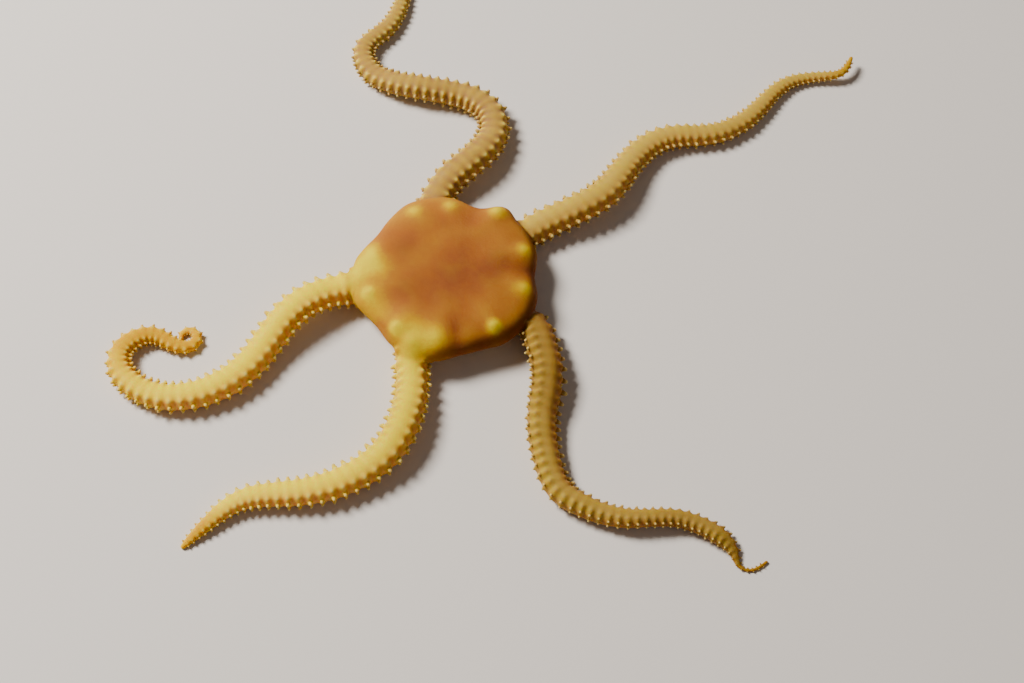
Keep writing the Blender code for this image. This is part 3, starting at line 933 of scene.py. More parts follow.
    def slits(self, x: Array, y: Array) -> Array:
        """Depth of the long slits in the underside, one on each side of an arm."""
        depth = np.zeros_like(x)
        for bearing in self.bearings:
            along, aside = self.from_centre(x, y, bearing)
            length = smooth_step(6.2, 7.2, along) * smooth_step(12.6, 11.4, along)
            lips = bell(np.abs(aside) - 3.15, 0.26) - 0.45 * bell(np.abs(aside) - 3.15, 0.7)
            depth += 0.55 * length * lips
        return depth

    def folds(self, x: Array, y: Array) -> Array:
        """How wrinkled the skin is at plan positions, most of all along the creases."""
        fold = np.full(len(x), 0.25)
        for crease in self.creases:
            along, aside = self.from_centre(x, y, crease.bearing)
            fold += crease.depth * 1.5 * bell(aside, 3.0) * smooth_step(6.5, 10.5, along)
        return fold

    def surface(self, columns: int) -> tuple[Array, Array]:
        """The whole disc as a grid of points.

        Args:
            columns: The number of points in a ring.

        Returns:
            The points as rings from the back's middle to the pit's roof, and the two closing points.
        """
        angle = np.linspace(0, 2 * math.pi, columns, endpoint=False)[None, :]
        steep = np.sin(np.linspace(math.asin(0.93 ** (self.power / 2)), math.pi / 2, 26)) ** (2 / self.power)
        back = np.concatenate([np.linspace(0.01, 0.93, 84)[:-1], steep])[:, None]
        belly = np.concatenate([steep[::-1][1:], np.linspace(0.93, 0.0, 52)[1:]])[:, None]
        rise = np.linspace(self.under, self.pit_roof, 12)[1:, None]
        wall = np.stack([c + 0 * rise for c in self.pit_wall(angle)] + [rise + 0 * angle], -1)
        inner = np.linspace(1.0, 0.02, 24)[1:, None]
        roof = np.stack([c * inner for c in self.pit_wall(angle)] + [self.pit_roof + 0 * angle * inner], -1)
        rings = np.concatenate([self.back(back, angle), self.belly(belly, angle), wall, roof])
        return rings, np.array([[0.0, 0.0, rings[0, 0, 2]], [0.0, 0.0, self.pit_roof]])

    def pit_wall(self, angle: Array) -> tuple[Array, Array]:
        """Plan positions of the pit's wall at angles in radians."""
        return self.pit_radius * np.cos(angle), self.pit_radius * np.sin(angle)

    def tone(self, x: Array, y: Array) -> Array:
        """How light the back is, from 0 in the darkest hollow to 1 on a shield, with painted shade along the
        creases.
        """
        away = np.hypot(x, y)
        tone = self.base_tone + self.rim_tone * smooth_step(6.0, 13.0, away)
        for shield in self.shields:
            along, aside = self.from_centre(x, y, shield.bearing)
            tone += shield.glow * mound(along - shield.radius, aside, shield.spread + 0.05)
            inwards = smooth_step(shield.radius - 7.0, shield.radius - 2.0, along)
            tone += self.ridge_tone * inwards * bell(aside, 1.5)
        # Darker along the creases: painted shade.
        for depth in self.crease_depths(x, y):
            tone -= self.crease_shade * depth
        for patch in self.patches:
            tone += patch.amount * mound(x - patch.x, y - patch.y, patch.spread)
        return np.clip(tone, 0.0, 1.0)


def grid_faces(rings: int, columns: int, first: int) -> list[list[int]]:
    """Faces of a closed grid whose two ends are closed by a fan.

    Args:
        rings: The number of rings.
        columns: The number of points in a ring.
        first: The index of the grid's first point. The two closing points follow the grid.

    Returns:
        The faces as lists of point indices.
    """
    index = first + np.arange(rings * columns).reshape(rings, columns)
    after = np.roll(index, -1, axis=1)
    quads = np.stack([index[:-1], after[:-1], after[1:], index[1:]], -1).reshape(-1, 4)
    start, end = first + rings * columns, first + rings * columns + 1
    caps = [[start, int(b), int(a)] for a, b in zip(index[0], after[0])]
    caps += [[end, int(a), int(b)] for a, b in zip(index[-1], after[-1])]
    return quads.tolist() + caps


def linked(name: str, data: bpy.types.ID) -> bpy.types.Object:
    """A new object with the given data, linked to the scene."""
    made = bpy.data.objects.new(name, data)
    bpy.context.scene.collection.objects.link(made)
    return made


def shells_object(name: str, shells: Sequence[tuple[Array, Array]]) -> bpy.types.Object:
    """One object of several closed shells, with their faces turned outwards.

    Args:
        name: The object's name.
        shells: The points of each shell as rings, and its two closing points.

    Returns:
        The new object, linked to the scene.
    """
    points = []
    faces = []
    count = 0
    for rings, ends in shells:
        faces += grid_faces(rings.shape[0], rings.shape[1], count)
        points += [rings.reshape(-1, 3), ends]
        count += rings.shape[0] * rings.shape[1] + 2
    mesh = bpy.data.meshes.new(name)
    mesh.from_pydata(np.concatenate(points).tolist(), [], faces)
    shape = bmesh.new()
    shape.from_mesh(mesh)
    bmesh.ops.recalc_face_normals(shape, faces=shape.faces)
    shape.to_mesh(mesh)
    shape.free()
    return linked(name, mesh)


def evaluated_mesh(piece: bpy.types.Object) -> None:
    """Gives an object the mesh that its modifiers make, and removes the modifiers."""
    graph = bpy.context.evaluated_depsgraph_get()
    finished = bpy.data.meshes.new_from_object(piece.evaluated_get(graph))
    old = piece.data
    piece.modifiers.clear()
    piece.data = finished
    bpy.data.meshes.remove(old)


def remeshed(piece: bpy.types.Object, voxel: float) -> None:
    """Fuses an object's closed shells into one surface of small even faces."""
    modifier = piece.modifiers.new("fuse", "REMESH")
    modifier.mode = "VOXEL"
    modifier.voxel_size = voxel
    evaluated_mesh(piece)


def thinned(piece: bpy.types.Object, triangles: int) -> None:
    """Brings an object down to about a number of triangles, where it is flattest first."""
    now = sum(len(face.vertices) - 2 for face in piece.data.polygons)
    thin = piece.modifiers.new("thin", "DECIMATE")
    thin.ratio = min(1.0, triangles / now)
    piece.modifiers.new("triangles", "TRIANGULATE")
    evaluated_mesh(piece)


def read(items: bpy.types.bpy_prop_collection, name: str, width: int, kind: type = np.float32) -> Array:
    """One property of every item of a collection.

    Args:
        items: The collection.
        name: The property's name.
        width: How many numbers the property holds.
        kind: The type of the numbers.

    Returns:
        One row of numbers for each item.
    """
    values = np.empty(len(items) * width, kind)
    items.foreach_get(name, values)
    return values.reshape(-1, width)


def read_points(mesh: bpy.types.Mesh) -> Array:
    """The points of a mesh as an array."""
    return read(mesh.vertices, "co", 3).astype(float)


def read_normals(mesh: bpy.types.Mesh) -> Array:
    """The normals at the points of a mesh."""
    return read(mesh.vertex_normals, "vector", 3).astype(float)


def corner_points(mesh: bpy.types.Mesh) -> Array:
    """The point of each corner of a mesh."""
    return read(mesh.loops, "vertex_index", 1, np.int32)[:, 0]


def write_points(mesh: bpy.types.Mesh, points: Array) -> None:
    """Moves the points of a mesh."""
    mesh.vertices.foreach_set("co", points.astype(np.float32).ravel())
    mesh.update()


class Neighbours:
    """The mean of each point's neighbours on a mesh."""

    def __init__(self, mesh: bpy.types.Mesh) -> None:
        """Reads the mesh's edges once."""
        edges = read(mesh.edges, "vertices", 2, np.int32)
        self.here = np.concatenate([edges[:, 0], edges[:, 1]])
        self.there = np.concatenate([edges[:, 1], edges[:, 0]])
        self.count = len(mesh.vertices)
        self.valence = np.maximum(1, np.bincount(self.here, minlength=self.count))

    def mean(self, values: Array) -> Array:
        """The mean of the neighbours' values, for values of one or more columns."""
        columns = values.reshape(self.count, -1)
        summed = [np.bincount(self.here, column[self.there], self.count) for column in columns.T]
        return (np.stack(summed, -1) / self.valence[:, None]).reshape(values.shape)

    def relaxed(self, points: Array, rounds: int, strength: Array | float = 1.0) -> Array:
        """Smooths points a number of rounds, by a strength from 0 to 1."""
        weight = np.broadcast_to(np.asarray(strength, float), (self.count,)) * 0.5
        weight = weight.reshape((self.count,) + (1,) * (points.ndim - 1))
        for _ in range(rounds):
            points = points + weight * (self.mean(points) - points)
        return points

    def kept_size(self, points: Array, rounds: int) -> Array:
        """Smooths points without shrinking the shape, by steps in and out."""
        for _ in range(rounds):
            points = points + 0.5 * (self.mean(points) - points)
            points = points - 0.52 * (self.mean(points) - points)
        return points


def hollowness(mesh: bpy.types.Mesh, rounds: int) -> Array:
    """How hollow a surface is at its points, from -1 on a peak to 1 in a hollow."""
    neighbours = Neighbours(mesh)
    points = read_points(mesh)
    normals = read_normals(mesh)
    smooth = neighbours.relaxed(points, rounds)
    depth = ((smooth - points) * normals).sum(axis=1)
    return np.clip(neighbours.relaxed(depth, 3) / 0.12, -1.0, 1.0)


def set_values(mesh: bpy.types.Mesh, name: str, values: Array) -> None:
    """Stores a number or a vector at each point of a mesh."""
    kind, part = ("FLOAT_VECTOR", "vector") if values.ndim > 1 else ("FLOAT", "value")
    attribute = mesh.attributes.new(name, kind, "POINT")
    attribute.data.foreach_set(part, values.astype(np.float32).ravel())


def set_map(mesh: bpy.types.Mesh, places: Array) -> None:
    """Gives a mesh its map for baking, from one place for each corner."""
    layer = mesh.uv_layers.new(name=BAKE_MAP)
    layer.uv.foreach_set("vector", places.astype(np.float32).ravel())


def smooth_shaded(mesh: bpy.types.Mesh) -> None:
    """Shades every face of a mesh smooth."""
    mesh.polygons.foreach_set("use_smooth", np.ones(len(mesh.polygons), bool))


@dataclass(frozen=True)
class Stand:
    """Where the animal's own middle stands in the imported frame, in metres."""

    x: float
    y: float

    @classmethod
    def from_frame(cls) -> "Stand":
        """Reads the place from the disc's highest point, which is its middle."""
        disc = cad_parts["disc"]
        top = max((disc.matrix_world @ vertex.co for vertex in disc.data.vertices), key=lambda point: point.z)
        return cls(top.x, top.y)

    def placed(self, points: Array) -> Array:
        """Points in millimetres from the disc's middle, turned to the frame's metres."""
        return points * MM + np.array([self.x, self.y, 0.0])


@dataclass(frozen=True)
class MapLayout:
    """The unwrap that all pieces share: a strip for each arm, and a round chart for back and belly."""

    margin: float = 0.006
    arm_scale: float = 0.0104
    strip: float = 0.122
    disc_scale: float = 0.0088
    chart_height: float = 0.832
    back_at: float = 0.18
    belly_at: float = 0.52
    flank_from: float = 10.5
    flank_share: float = 0.8
    back_span: float = 3.2
    belly_span: float = 2.9
    strip_share: float = 0.94
    strip_gap: float = 0.03

    def on_arm(self, index: int, along: Array, around: Array) -> Array:
        """Places in an arm's strip; angles start in radians at the foot, and may pass a full turn."""
        u = self.margin + along * self.arm_scale
        share = np.clip(around / (2 * math.pi), -0.02, 1.02) * self.strip_share + self.strip_gap
        v = self.margin + (index + share) * self.strip
        return np.stack([u, v + 0 * u], -1)

    def on_disc(self, points: Array, back: bool, middle: float) -> Array:
        """Places in the chart of the back or the belly, with the steep flank laid out flat."""
        reach = np.hypot(points[..., 0], points[..., 1])
        drop = np.abs(points[..., 2] - middle)
        span = self.back_span if back else self.belly_span
        grown = reach + np.where(reach > self.flank_from, (span - drop) * self.flank_share, 0.0)
        scale = self.disc_scale * grown / np.maximum(reach, 1e-6)
        centre = self.back_at if back else self.belly_at
        u = centre + points[..., 0] * scale
        v = self.chart_height + points[..., 1] * scale
        return np.stack([u, v], -1)


@dataclass(frozen=True)
class Socket:
    """An output of a node tree that can be used in Python expressions."""

    graph: "Graph"
    link: bpy.types.NodeSocket

    def math(self, operation: str, *values: "Socket | float") -> "Socket":
        """Adds a Math node on this value and up to two more."""
        return self.graph.value_math(operation, self, *values)

    def __add__(self, other: "Socket | float") -> "Socket":
        """The sum."""
        return self.math("ADD", other)

    def __radd__(self, other: float) -> "Socket":
        """The sum with the number first."""
        return self.math("ADD", other)

    def __sub__(self, other: "Socket | float") -> "Socket":
        """The difference."""
        return self.math("SUBTRACT", other)

    def __rsub__(self, other: float) -> "Socket":
        """The difference from a number."""
        return self.graph.value_math("SUBTRACT", other, self)

    def __mul__(self, other: "Socket | float") -> "Socket":
        """The product."""
        return self.math("MULTIPLY", other)

    def __truediv__(self, other: "Socket | float") -> "Socket":
        """The quotient."""
        return self.math("DIVIDE", other)

    def __pow__(self, other: "Socket | float") -> "Socket":
        """The power."""
        return self.math("POWER", other)

    def clamped(self) -> "Socket":
        """The value kept between 0 and 1."""
        return self.math("MAXIMUM", 0.0).math("MINIMUM", 1.0)

    def swing(self, width: float) -> "Socket":
        """A value from 0 to 1, turned to a swing of a width about 0."""
        return (self - 0.5) * width

    def step(self, low: float, high: float) -> "Socket":
        """A soft step from 0 at low to 1 at high."""
        sockets = {"Value": self, "From Min": low, "From Max": high, "To Min": 0.0, "To Max": 1.0}
        return self.graph.out("ShaderNodeMapRange", {"interpolation_type": "SMOOTHSTEP"}, sockets, "Result")


@dataclass(frozen=True)
class Graph:
    """Adds nodes and links to one node tree."""

    tree: bpy.types.NodeTree

    def node(
        self,
        kind: str,
        settings: Mapping[str, object] | None = None,
        sockets: Mapping[str | int, object] | None = None,
    ) -> bpy.types.Node:
        """Adds one node.

        Args:
            kind: The node's type.
            settings: Its settings, set before its sockets. "stops" sets a ramp's positions and colours.
            sockets: The value or link of each input, by name or number.

        Returns:
            The node.
        """
        made = self.tree.nodes.new(kind)
        for name, value in (settings or {}).items():
            if name == "stops":
                self.set_stops(made.color_ramp, value)
            else:
                setattr(made, name, value)
        for name, value in (sockets or {}).items():
            if isinstance(value, Socket):
                self.tree.links.new(value.link, made.inputs[name])
            else:
                made.inputs[name].default_value = value
        return made

    def place(self) -> Socket:
        """The place on the piece, in metres."""
        return self.out("ShaderNodeTexCoord", None, None, "Object")

    def bump(self, height: Socket, distance: float, **over: Socket) -> Socket:
        """The normal of a fine relief, over another normal if Normal is given."""
        sockets = {"Height": height, "Distance": distance, "Strength": 1.0, **over}
        return self.out("ShaderNodeBump", None, sockets, "Normal")

    @staticmethod
    def set_stops(ramp: bpy.types.ColorRamp, stops: Sequence[tuple[float, Sequence[float]]]) -> None:
        """Gives a ramp its positions and colours."""
        while len(ramp.elements) < len(stops):
            ramp.elements.new(1.0)
        for element, (position, colour) in zip(ramp.elements, stops):
            element.position = position
            element.color = colour

    def out(
        self,
        kind: str,
        settings: Mapping[str, object] | None = None,
        sockets: Mapping[str | int, object] | None = None,
        output: str | int = 0,
    ) -> Socket:
        """Adds one node and gives one of its outputs.

        Args:
            kind: The node's type.
            settings: Its settings.
            sockets: The value or link of each input.
            output: The output's name or number.

        Returns:
            The output.
        """
        return Socket(self, self.node(kind, settings, sockets).outputs[output])

    def value_math(self, operation: str, *values: "Socket | float") -> Socket:
        """Adds a Math node on values of which the first may be a number."""
        return self.out("ShaderNodeMath", {"operation": operation}, dict(enumerate(values)))

    def mix(self, share: "Socket | float", first: object, second: object) -> Socket:
        """Mixes two colours by a share."""
        sockets = {0: share, 6: first, 7: second}
        return self.out("ShaderNodeMix", {"data_type": "RGBA"}, sockets, 2)

    def attribute(self, name: str) -> Socket:
        """Reads a number that the mesh stores at its points."""
        return self.out("ShaderNodeAttribute", {"attribute_name": name}, None, "Fac")

    def noise(self, where: Socket, scale: float, detail: float = 3.0, roughness: float = 0.5) -> Socket:
        """Cloudy noise over a vector, from 0 to 1."""
        sockets = {"Vector": where, "Scale": scale, "Detail": detail, "Roughness": roughness}
        return self.out("ShaderNodeTexNoise", None, sockets, "Fac")


def rgb(red: int, green: int, blue: int) -> tuple[float, float, float, float]:
    """A colour given as it is seen on a screen, turned to the linear values that nodes take."""
    parts = [part / 255 for part in (red, green, blue)]
    linear = [((part + 0.055) / 1.055) ** 2.4 if part > 10 / 255 else part / 12.92 for part in parts]
    return (*linear, 1.0)


@dataclass(frozen=True)
class SkinColours:
    """The colours of the living skin, and of the light and shade painted on it."""

    # The darkest colour of the disc, also painted as shade in the skin's hollows.
    hollow: tuple[float, ...] = rgb(136, 75, 37)
    plain: tuple[float, ...] = rgb(156, 92, 37)
    ridge: tuple[float, ...] = rgb(168, 108, 36)
    swelling: tuple[float, ...] = rgb(194, 148, 12)
    shield: tuple[float, ...] = rgb(213, 188, 4)
    arm_back: tuple[float, ...] = rgb(228, 192, 88)
    # The skin's bright yellow, in random clouds and as painted light and painted highlight.
    arm_yellow_and_painted_light: tuple[float, ...] = rgb(238, 211, 2)
    # The flanks' own orange, also painted as shade on the side away from the light.
    arm_flank_and_shade: tuple[float, ...] = rgb(226, 152, 76)
    # The colour of the shade painted over whole arms.
    arm_painted_shade: tuple[float, ...] = rgb(158, 116, 66)
    arm_end: tuple[float, ...] = rgb(200, 137, 6)
    belly: tuple[float, ...] = rgb(206, 164, 88)
    # The dark of the mouth's pit, painted as shade there and on the disc's side away from the light.
    pit: tuple[float, ...] = rgb(96, 50, 20)
    cream: tuple[float, ...] = rgb(218, 194, 116)
    spot: tuple[float, ...] = rgb(210, 186, 98)

    def shaded(self, graph: Graph) -> Socket:
        """The skin's colour from the marks that the mesh stores at its points.

        Args:
            graph: The material's tree.

        Returns:
            The colour.
        """
        where = graph.place()
        clouds = graph.noise(where, CLOUDS, 3.0)
        mottle = graph.noise(where, MOTTLE, 3.0, 0.6)
        specks = graph.noise(where, SPECKS, 2.0, 0.6)
        tone = graph.attribute("tone") + clouds.swing(0.14) + mottle.swing(0.16) + specks.swing(0.10)
        ramp = (self.hollow, self.plain, self.ridge, self.swelling, self.shield)
        stops = list(zip((0.08, 0.32, 0.54, 0.76, 1.0), ramp))
        disc = graph.out("ShaderNodeValToRGB", {"stops": stops}, {"Fac": tone.clamped()})
        # Painted light on the arms, broken up by random clouds of the same yellow.
        light = graph.attribute("light") + clouds.swing(0.8) + mottle.swing(0.5)
        arm = graph.mix(light.clamped(), self.arm_back, self.arm_yellow_and_painted_light)
        uneven = clouds * 0.6 + 0.7
        layers = (
            ("flank", mottle * 0.8 + 0.6, self.arm_flank_and_shade),
            ("painted_shade", uneven, self.arm_painted_shade),
            ("end", uneven, self.arm_end),
        )
        for name, strength, colour in layers:
            arm = graph.mix((graph.attribute(name) * strength).clamped(), arm, colour)
        skin = graph.mix(graph.attribute("on_disc"), arm, disc)
        hollow = graph.attribute("hollow")
        # Hollows take the darkest colour and peaks the bright yellow: partly the skin's own colour, partly
        # painted shade and painted highlight.
        skin = graph.mix((hollow * 0.55).clamped(), skin, self.hollow)
        skin = graph.mix((hollow * -0.42).clamped(), skin, self.arm_yellow_and_painted_light)
        covers = (("spot", 0.9, self.spot), ("belly", 0.8, self.belly), ("pit", 1.0, self.pit))
        for name, share, colour in covers:
            skin = graph.mix(graph.attribute(name) * share, skin, colour)
        return skin


@dataclass(frozen=True)
class Moist:
    """The parts of a wet satin surface that are the same all over it."""

    subsurface: float = 0.7
    subsurface_scale: float = 0.0012
    subsurface_radius: tuple[float, float, float] = (1.0, 0.42, 0.16)
    coat: float = 0.0
    coat_roughness: float = 0.3
    ior: float = 1.4
    specular: float = 0.025

    def shade(self, graph: Graph, **varied: Socket) -> None:
        """Adds the surface's shader, with what varies over it by socket name, and the output."""
        sockets = {
            "Subsurface Weight": self.subsurface,
            "Subsurface Scale": self.subsurface_scale,
            "Subsurface Radius": self.subsurface_radius,
            "Coat Weight": self.coat,
            "Coat Roughness": self.coat_roughness,
            "IOR": self.ior,
            "Specular IOR Level": self.specular,
        }
        sockets |= {name.replace("_", " "): value for name, value in varied.items()}
        surface = graph.out("ShaderNodeBsdfPrincipled", None, sockets, "BSDF")
        graph.node("ShaderNodeOutputMaterial", None, {"Surface": surface})


def new_material(name: str) -> tuple[bpy.types.Material, Graph]:
    """A material with an empty node tree, and the graph that adds to it."""
    made = bpy.data.materials.new(name)
    made.use_nodes = True
    made.node_tree.nodes.clear()
    return made, Graph(made.node_tree)


@dataclass(frozen=True)
class SkinFinish:
    """Moist satin skin with mottled colour, fine grain and wrinkles along the folds."""

    colours: SkinColours = SkinColours()
    moist: Moist = Moist()
    arm_coat: float = 0.02
    roughness: float = 0.42
    grain: float = 2600.0
    grain_depth: float = 0.00005
    wrinkle_depth: float = 0.00009

    def build(self, stand: Stand) -> bpy.types.Material:
        """The material of the skin.

        Args:
            stand: Where the animal's middle stands, for the folds that run out from it.

        Returns:
            The material.
        """
        made, graph = new_material("moist_skin")
        on_disc = graph.attribute("on_disc")
        mottle = graph.noise(graph.place(), MOTTLE, 3.0, 0.6)
        self.moist.shade(
            graph,
            Base_Color=self.colours.shaded(graph),
            Roughness=self.roughness + mottle.swing(0.2) + on_disc * 0.10,
            Coat_Weight=(1 - on_disc) * self.arm_coat,
            Normal=self.bumped(graph, stand),
        )
        return made

    def bumped(self, graph: Graph, stand: Stand) -> Socket:
        """The normal of the fine relief.

        Args:
            graph: The material's tree.
            stand: Where the animal's middle stands.

        Returns:
            The bumped normal.
        """
        where = graph.place()
        grain = graph.noise(where, self.grain, 4.0, 0.6)
        sockets = {"Vector": where, "Location": (-stand.x, -stand.y, 0.0)}
        middle = graph.out("ShaderNodeMapping", {"vector_type": "POINT"}, sockets)
        parts = graph.node("ShaderNodeSeparateXYZ", None, {0: middle})
        x, y = Socket(graph, parts.outputs[0]), Socket(graph, parts.outputs[1])
        turn = y.math("ARCTAN2", x) * 9.0
        reach = (x * x + y * y).math("SQRT") * 260.0
        spokes = graph.out("ShaderNodeCombineXYZ", None, {0: turn, 1: reach, 2: 0.0})
        folds = graph.noise(spokes, 2.6, 2.0, 0.55)
        wrinkled = graph.bump(folds * graph.attribute("fold"), self.wrinkle_depth)
        return graph.bump(grain, self.grain_depth, Normal=wrinkled)


@dataclass(frozen=True)
class SpineFinish:
    """Skin colour at a spine's foot that pales to cream at its point."""

    colours: SkinColours = SkinColours()
    moist: Moist = Moist(subsurface=0.3, subsurface_scale=0.0004, coat=0.04)
    pale_from: float = 0.28
    pale_to: float = 0.9
    roughness: float = 0.40
    grain: float = 3400.0
    grain_depth: float = 0.00003

    def build(self) -> bpy.types.Material:
        """The material of spines and tube feet."""
        made, graph = new_material("spine_skin")
        grain = graph.noise(graph.place(), self.grain, 3.0, 0.6)
        height = graph.attribute("height")
        pale = height.step(self.pale_from, self.pale_to) * (0.85 + grain.swing(0.3))
        pale = pale + graph.attribute("pale")
        self.moist.shade(
            graph,
            Base_Color=graph.mix(pale.clamped(), self.colours.shaded(graph), self.colours.cream),
            Roughness=self.roughness - height * 0.08 + grain.swing(0.2),
            Normal=graph.bump(grain, self.grain_depth),
        )
        return made


@dataclass(frozen=True)
class JawFinish:
    """Cream-yellow skin over small plates, with darker seams and paler tops, partly painted shade and
    highlight.
    """

    plate: tuple[float, ...] = rgb(236, 206, 134)
    bright: tuple[float, ...] = rgb(248, 232, 188)
    seam_and_shade: tuple[float, ...] = rgb(186, 112, 40)
    moist: Moist = Moist(subsurface=0.2)
    roughness: float = 0.42
    grain: float = 2800.0
    grain_depth: float = 0.00004

    def build(self) -> bpy.types.Material:
        """The material of the jaws."""
        made, graph = new_material("jaw_skin")
        grain = graph.noise(graph.place(), self.grain, 3.0, 0.6)
        hollow = graph.attribute("hollow")
        # Paler on the tops, partly painted highlight; darker in the seams, partly painted shade.
        colour = graph.mix((hollow * -0.9 + grain.swing(0.3)).clamped(), self.plate, self.bright)
        self.moist.shade(
            graph,
            Base_Color=graph.mix((hollow * 1.1 + grain.swing(0.2)).clamped(), colour, self.seam_and_shade),
            Roughness=self.roughness + grain.swing(0.2),
            Normal=graph.bump(grain, self.grain_depth),
        )
        return made


@dataclass(frozen=True)
class FloorFinish:
    """A plain pale studio floor."""

    colour: tuple[float, ...] = rgb(222, 214, 206)
    roughness: float = 0.85

    def build(self) -> bpy.types.Material:
        """The material of the floor."""
        made, graph = new_material("pale_floor")
        sockets = {"Base Color": self.colour, "Roughness": self.roughness}
        surface = graph.out("ShaderNodeBsdfPrincipled", None, sockets, "BSDF")
        graph.node("ShaderNodeOutputMaterial", None, {"Surface": surface})
        return made


@dataclass
class Marks:
    """What the skin is like at each of a number of places, painted light and shade too, for the materials to
    read.
    """

    tone: Array
    light: Array
    flank: Array
    painted_shade: Array
    spot: Array
    end: Array
    on_disc: Array
    belly: Array
    pit: Array
    fold: Array

    def store(self, mesh: bpy.types.Mesh) -> None:
        """Stores every mark at the points of a mesh."""
        for name, values in vars(self).items():
            set_values(mesh, name, values)


@dataclass(frozen=True)
class Placed:
    """Where points lie: each one's arm, how far along it and in radians around it, and how far outside it."""

    owner: Array
    along: Array
    around: Array
    outside: Array


@dataclass
class Surface:
    """Where points of the skin lie: on which arm, how far along it and around it, or on the disc."""

    arms: list[ArmForm]
    disc: DiscForm
    near_spread: float = 3.5
    near_tone: float = 0.44
    # How much shade is painted on the disc's side, everywhere and more towards the dark side, and how much of
    # the pit's dark it takes.
    side_painted_shade: tuple[float, float] = (0.02, 0.20)
    side_painted_dark: float = 0.75

    def __post_init__(self) -> None:
        """Sorts points of the arms' middle lines for searching."""
        lines = []
        self.owner = []
        self.along = []
        for i, arm in enumerate(self.arms):
            at = arm.path.distance
            middle = arm.path.foot(at)
            middle[:, 2] += arm.path.width(at) / 2 * arm.path.sizes.height_share
            lines.append(middle)
            self.owner.append(np.full(len(at), i))
            self.along.append(at)
        self.owner = np.concatenate(self.owner)
        self.along = np.concatenate(self.along)
        line = np.concatenate(lines)
        self.tree = kdtree.KDTree(len(line))
        for i, point in enumerate(line):
            self.tree.insert(point, i)
        self.tree.balance()

    def located(self, points: Array) -> Placed:
        """Finds the arm of each point and the point's place on it.

        Args:
            points: The points.

        Returns:
            The points' places.
        """
        nearest = np.fromiter((self.tree.find(point)[1] for point in points.tolist()), int, len(points))
        owner = self.owner[nearest]
        along = self.along[nearest].astype(float)
        around = np.zeros(len(points))
        outside = np.zeros(len(points))
        for i, arm in enumerate(self.arms):
            mine = owner == i
            at = along[mine]
            offset = points[mine] - arm.path.foot(at)
            at = np.clip(at + (offset * arm.path.ahead(at)).sum(axis=1), 0.0, arm.path.length)
            offset = points[mine] - arm.path.foot(at)
            half = arm.path.width(at) / 2
            tall = half * arm.path.sizes.height_share
            across = (offset * arm.path.left(at)).sum(axis=1)
            rise = offset[:, 2] - tall
            along[mine] = at
            around[mine] = np.arctan2(rise, across)
            outside[mine] = (np.hypot(across / half, rise / tall) - 1) * half
        return Placed(owner, along, around, outside)

    def marks(self, points: Array) -> tuple[Marks, Placed]:
        """What the skin is like at each point.

        Args:
            points: Points of the skin.

        Returns:
            The marks, and where the points lie on the arms.
        """
        placed = self.located(points)
        disc = self.disc
        x, y, z = points.T
        reach = np.hypot(x, y)
        angle = np.arctan2(y, x)
        ring = reach / disc.edge(angle)
        on_disc = self.disc_share(z, reach, ring, placed)
        under_disc = on_disc * smooth_step(disc.middle - 0.6, disc.under + 0.4, z)
        under_arm = (1 - on_disc) * smooth_step(-35.0, -65.0, np.degrees(level_of(placed.around)))
        belly = np.clip(under_disc + under_arm, 0.0, 1.0)
        # The disc's side below its shields is painted darker than its back, most of all on the right, away
        # from the light: painted shade.
        near = self.near_junctions(points, self.near_spread)
        side = smooth_step(0.86, 0.96, ring) * smooth_step(6.2, 4.9, z) * (1 - near)
        facing = np.cos(angle - disc.dark_side)
        least, more = self.side_painted_shade
        tone = disc.tone(x, y) + self.near_tone * near - (least + more * (1 + facing)) * side
        # The pit's dark colour is painted shade in the mouth's recess and on the disc's side away from the
        # light.
        pit = smooth_step(disc.pit_radius + 0.25, disc.pit_radius - 0.3, reach) * (z < disc.middle)
        pit = np.maximum(pit, self.side_painted_dark * side * np.maximum(0.0, facing))
        fold = disc.folds(x, y) * on_disc * smooth_step(4.0, 9.0, reach)
        own = {"tone": np.clip(tone, 0, 1), "on_disc": on_disc, "belly": belly, "pit": pit, "fold": fold}
        return Marks(**own, **self.arm_marks(placed)), placed

    def arm_marks(self, placed: Placed) -> dict[str, Array]:
        """The marks that each point takes from its own arm, by name."""
        made = {name: np.zeros(len(placed.owner)) for name in ("light", "flank", "painted_shade", "spot", "end")}
        for i, arm in enumerate(self.arms):
            mine = placed.owner == i
            here = (placed.along[mine], placed.around[mine], placed.outside[mine])
            for name, values in arm.marks(*here, self.disc.dark_side).items():
                made[name][mine] = values
        return made

    def disc_share(self, z: Array, reach: Array, ring: Array, placed: Placed) -> Array:
        """How far each point belongs to the disc, from 0 to 1.

        Args:
            z: Heights.
            reach: Plan distances from the disc's middle.
            ring: The same distances as shares of the way to the disc's edge.
            placed: Where the points lie on the arms.

        Returns:
            The share for each point.
        """
        disc = self.disc
        tall = np.where(z > disc.middle, disc.top - disc.middle, disc.middle - disc.under)
        level = np.sqrt(np.maximum(ring, 0) ** disc.power + ((z - disc.middle) / tall) ** 2)
        off_disc = (level - 1) * 2.2
        gap = placed.outside - np.maximum(off_disc, -0.2)
        on_disc = smooth_step(-0.25, 0.55, gap) * smooth_step(1.35, 1.1, ring)
        for i, arm in enumerate(self.arms):
            if arm.flowing:
                mine = placed.owner == i
                flowing = smooth_step(10.2, 6.8, placed.along[mine]) * (z[mine] > 1.0)
                on_disc[mine] = np.maximum(on_disc[mine], flowing * (reach[mine] > 9.0))
        return on_disc

    def near_junctions(self, points: Array, spread: float) -> Array:
        """How near points are to where an arm flows from the disc, from 0 to 1."""
        near = np.zeros(len(points))
        for arm in self.arms:
            if arm.flowing:
                near = np.maximum(near, bell(arm.from_joint(points), spread))
        return near


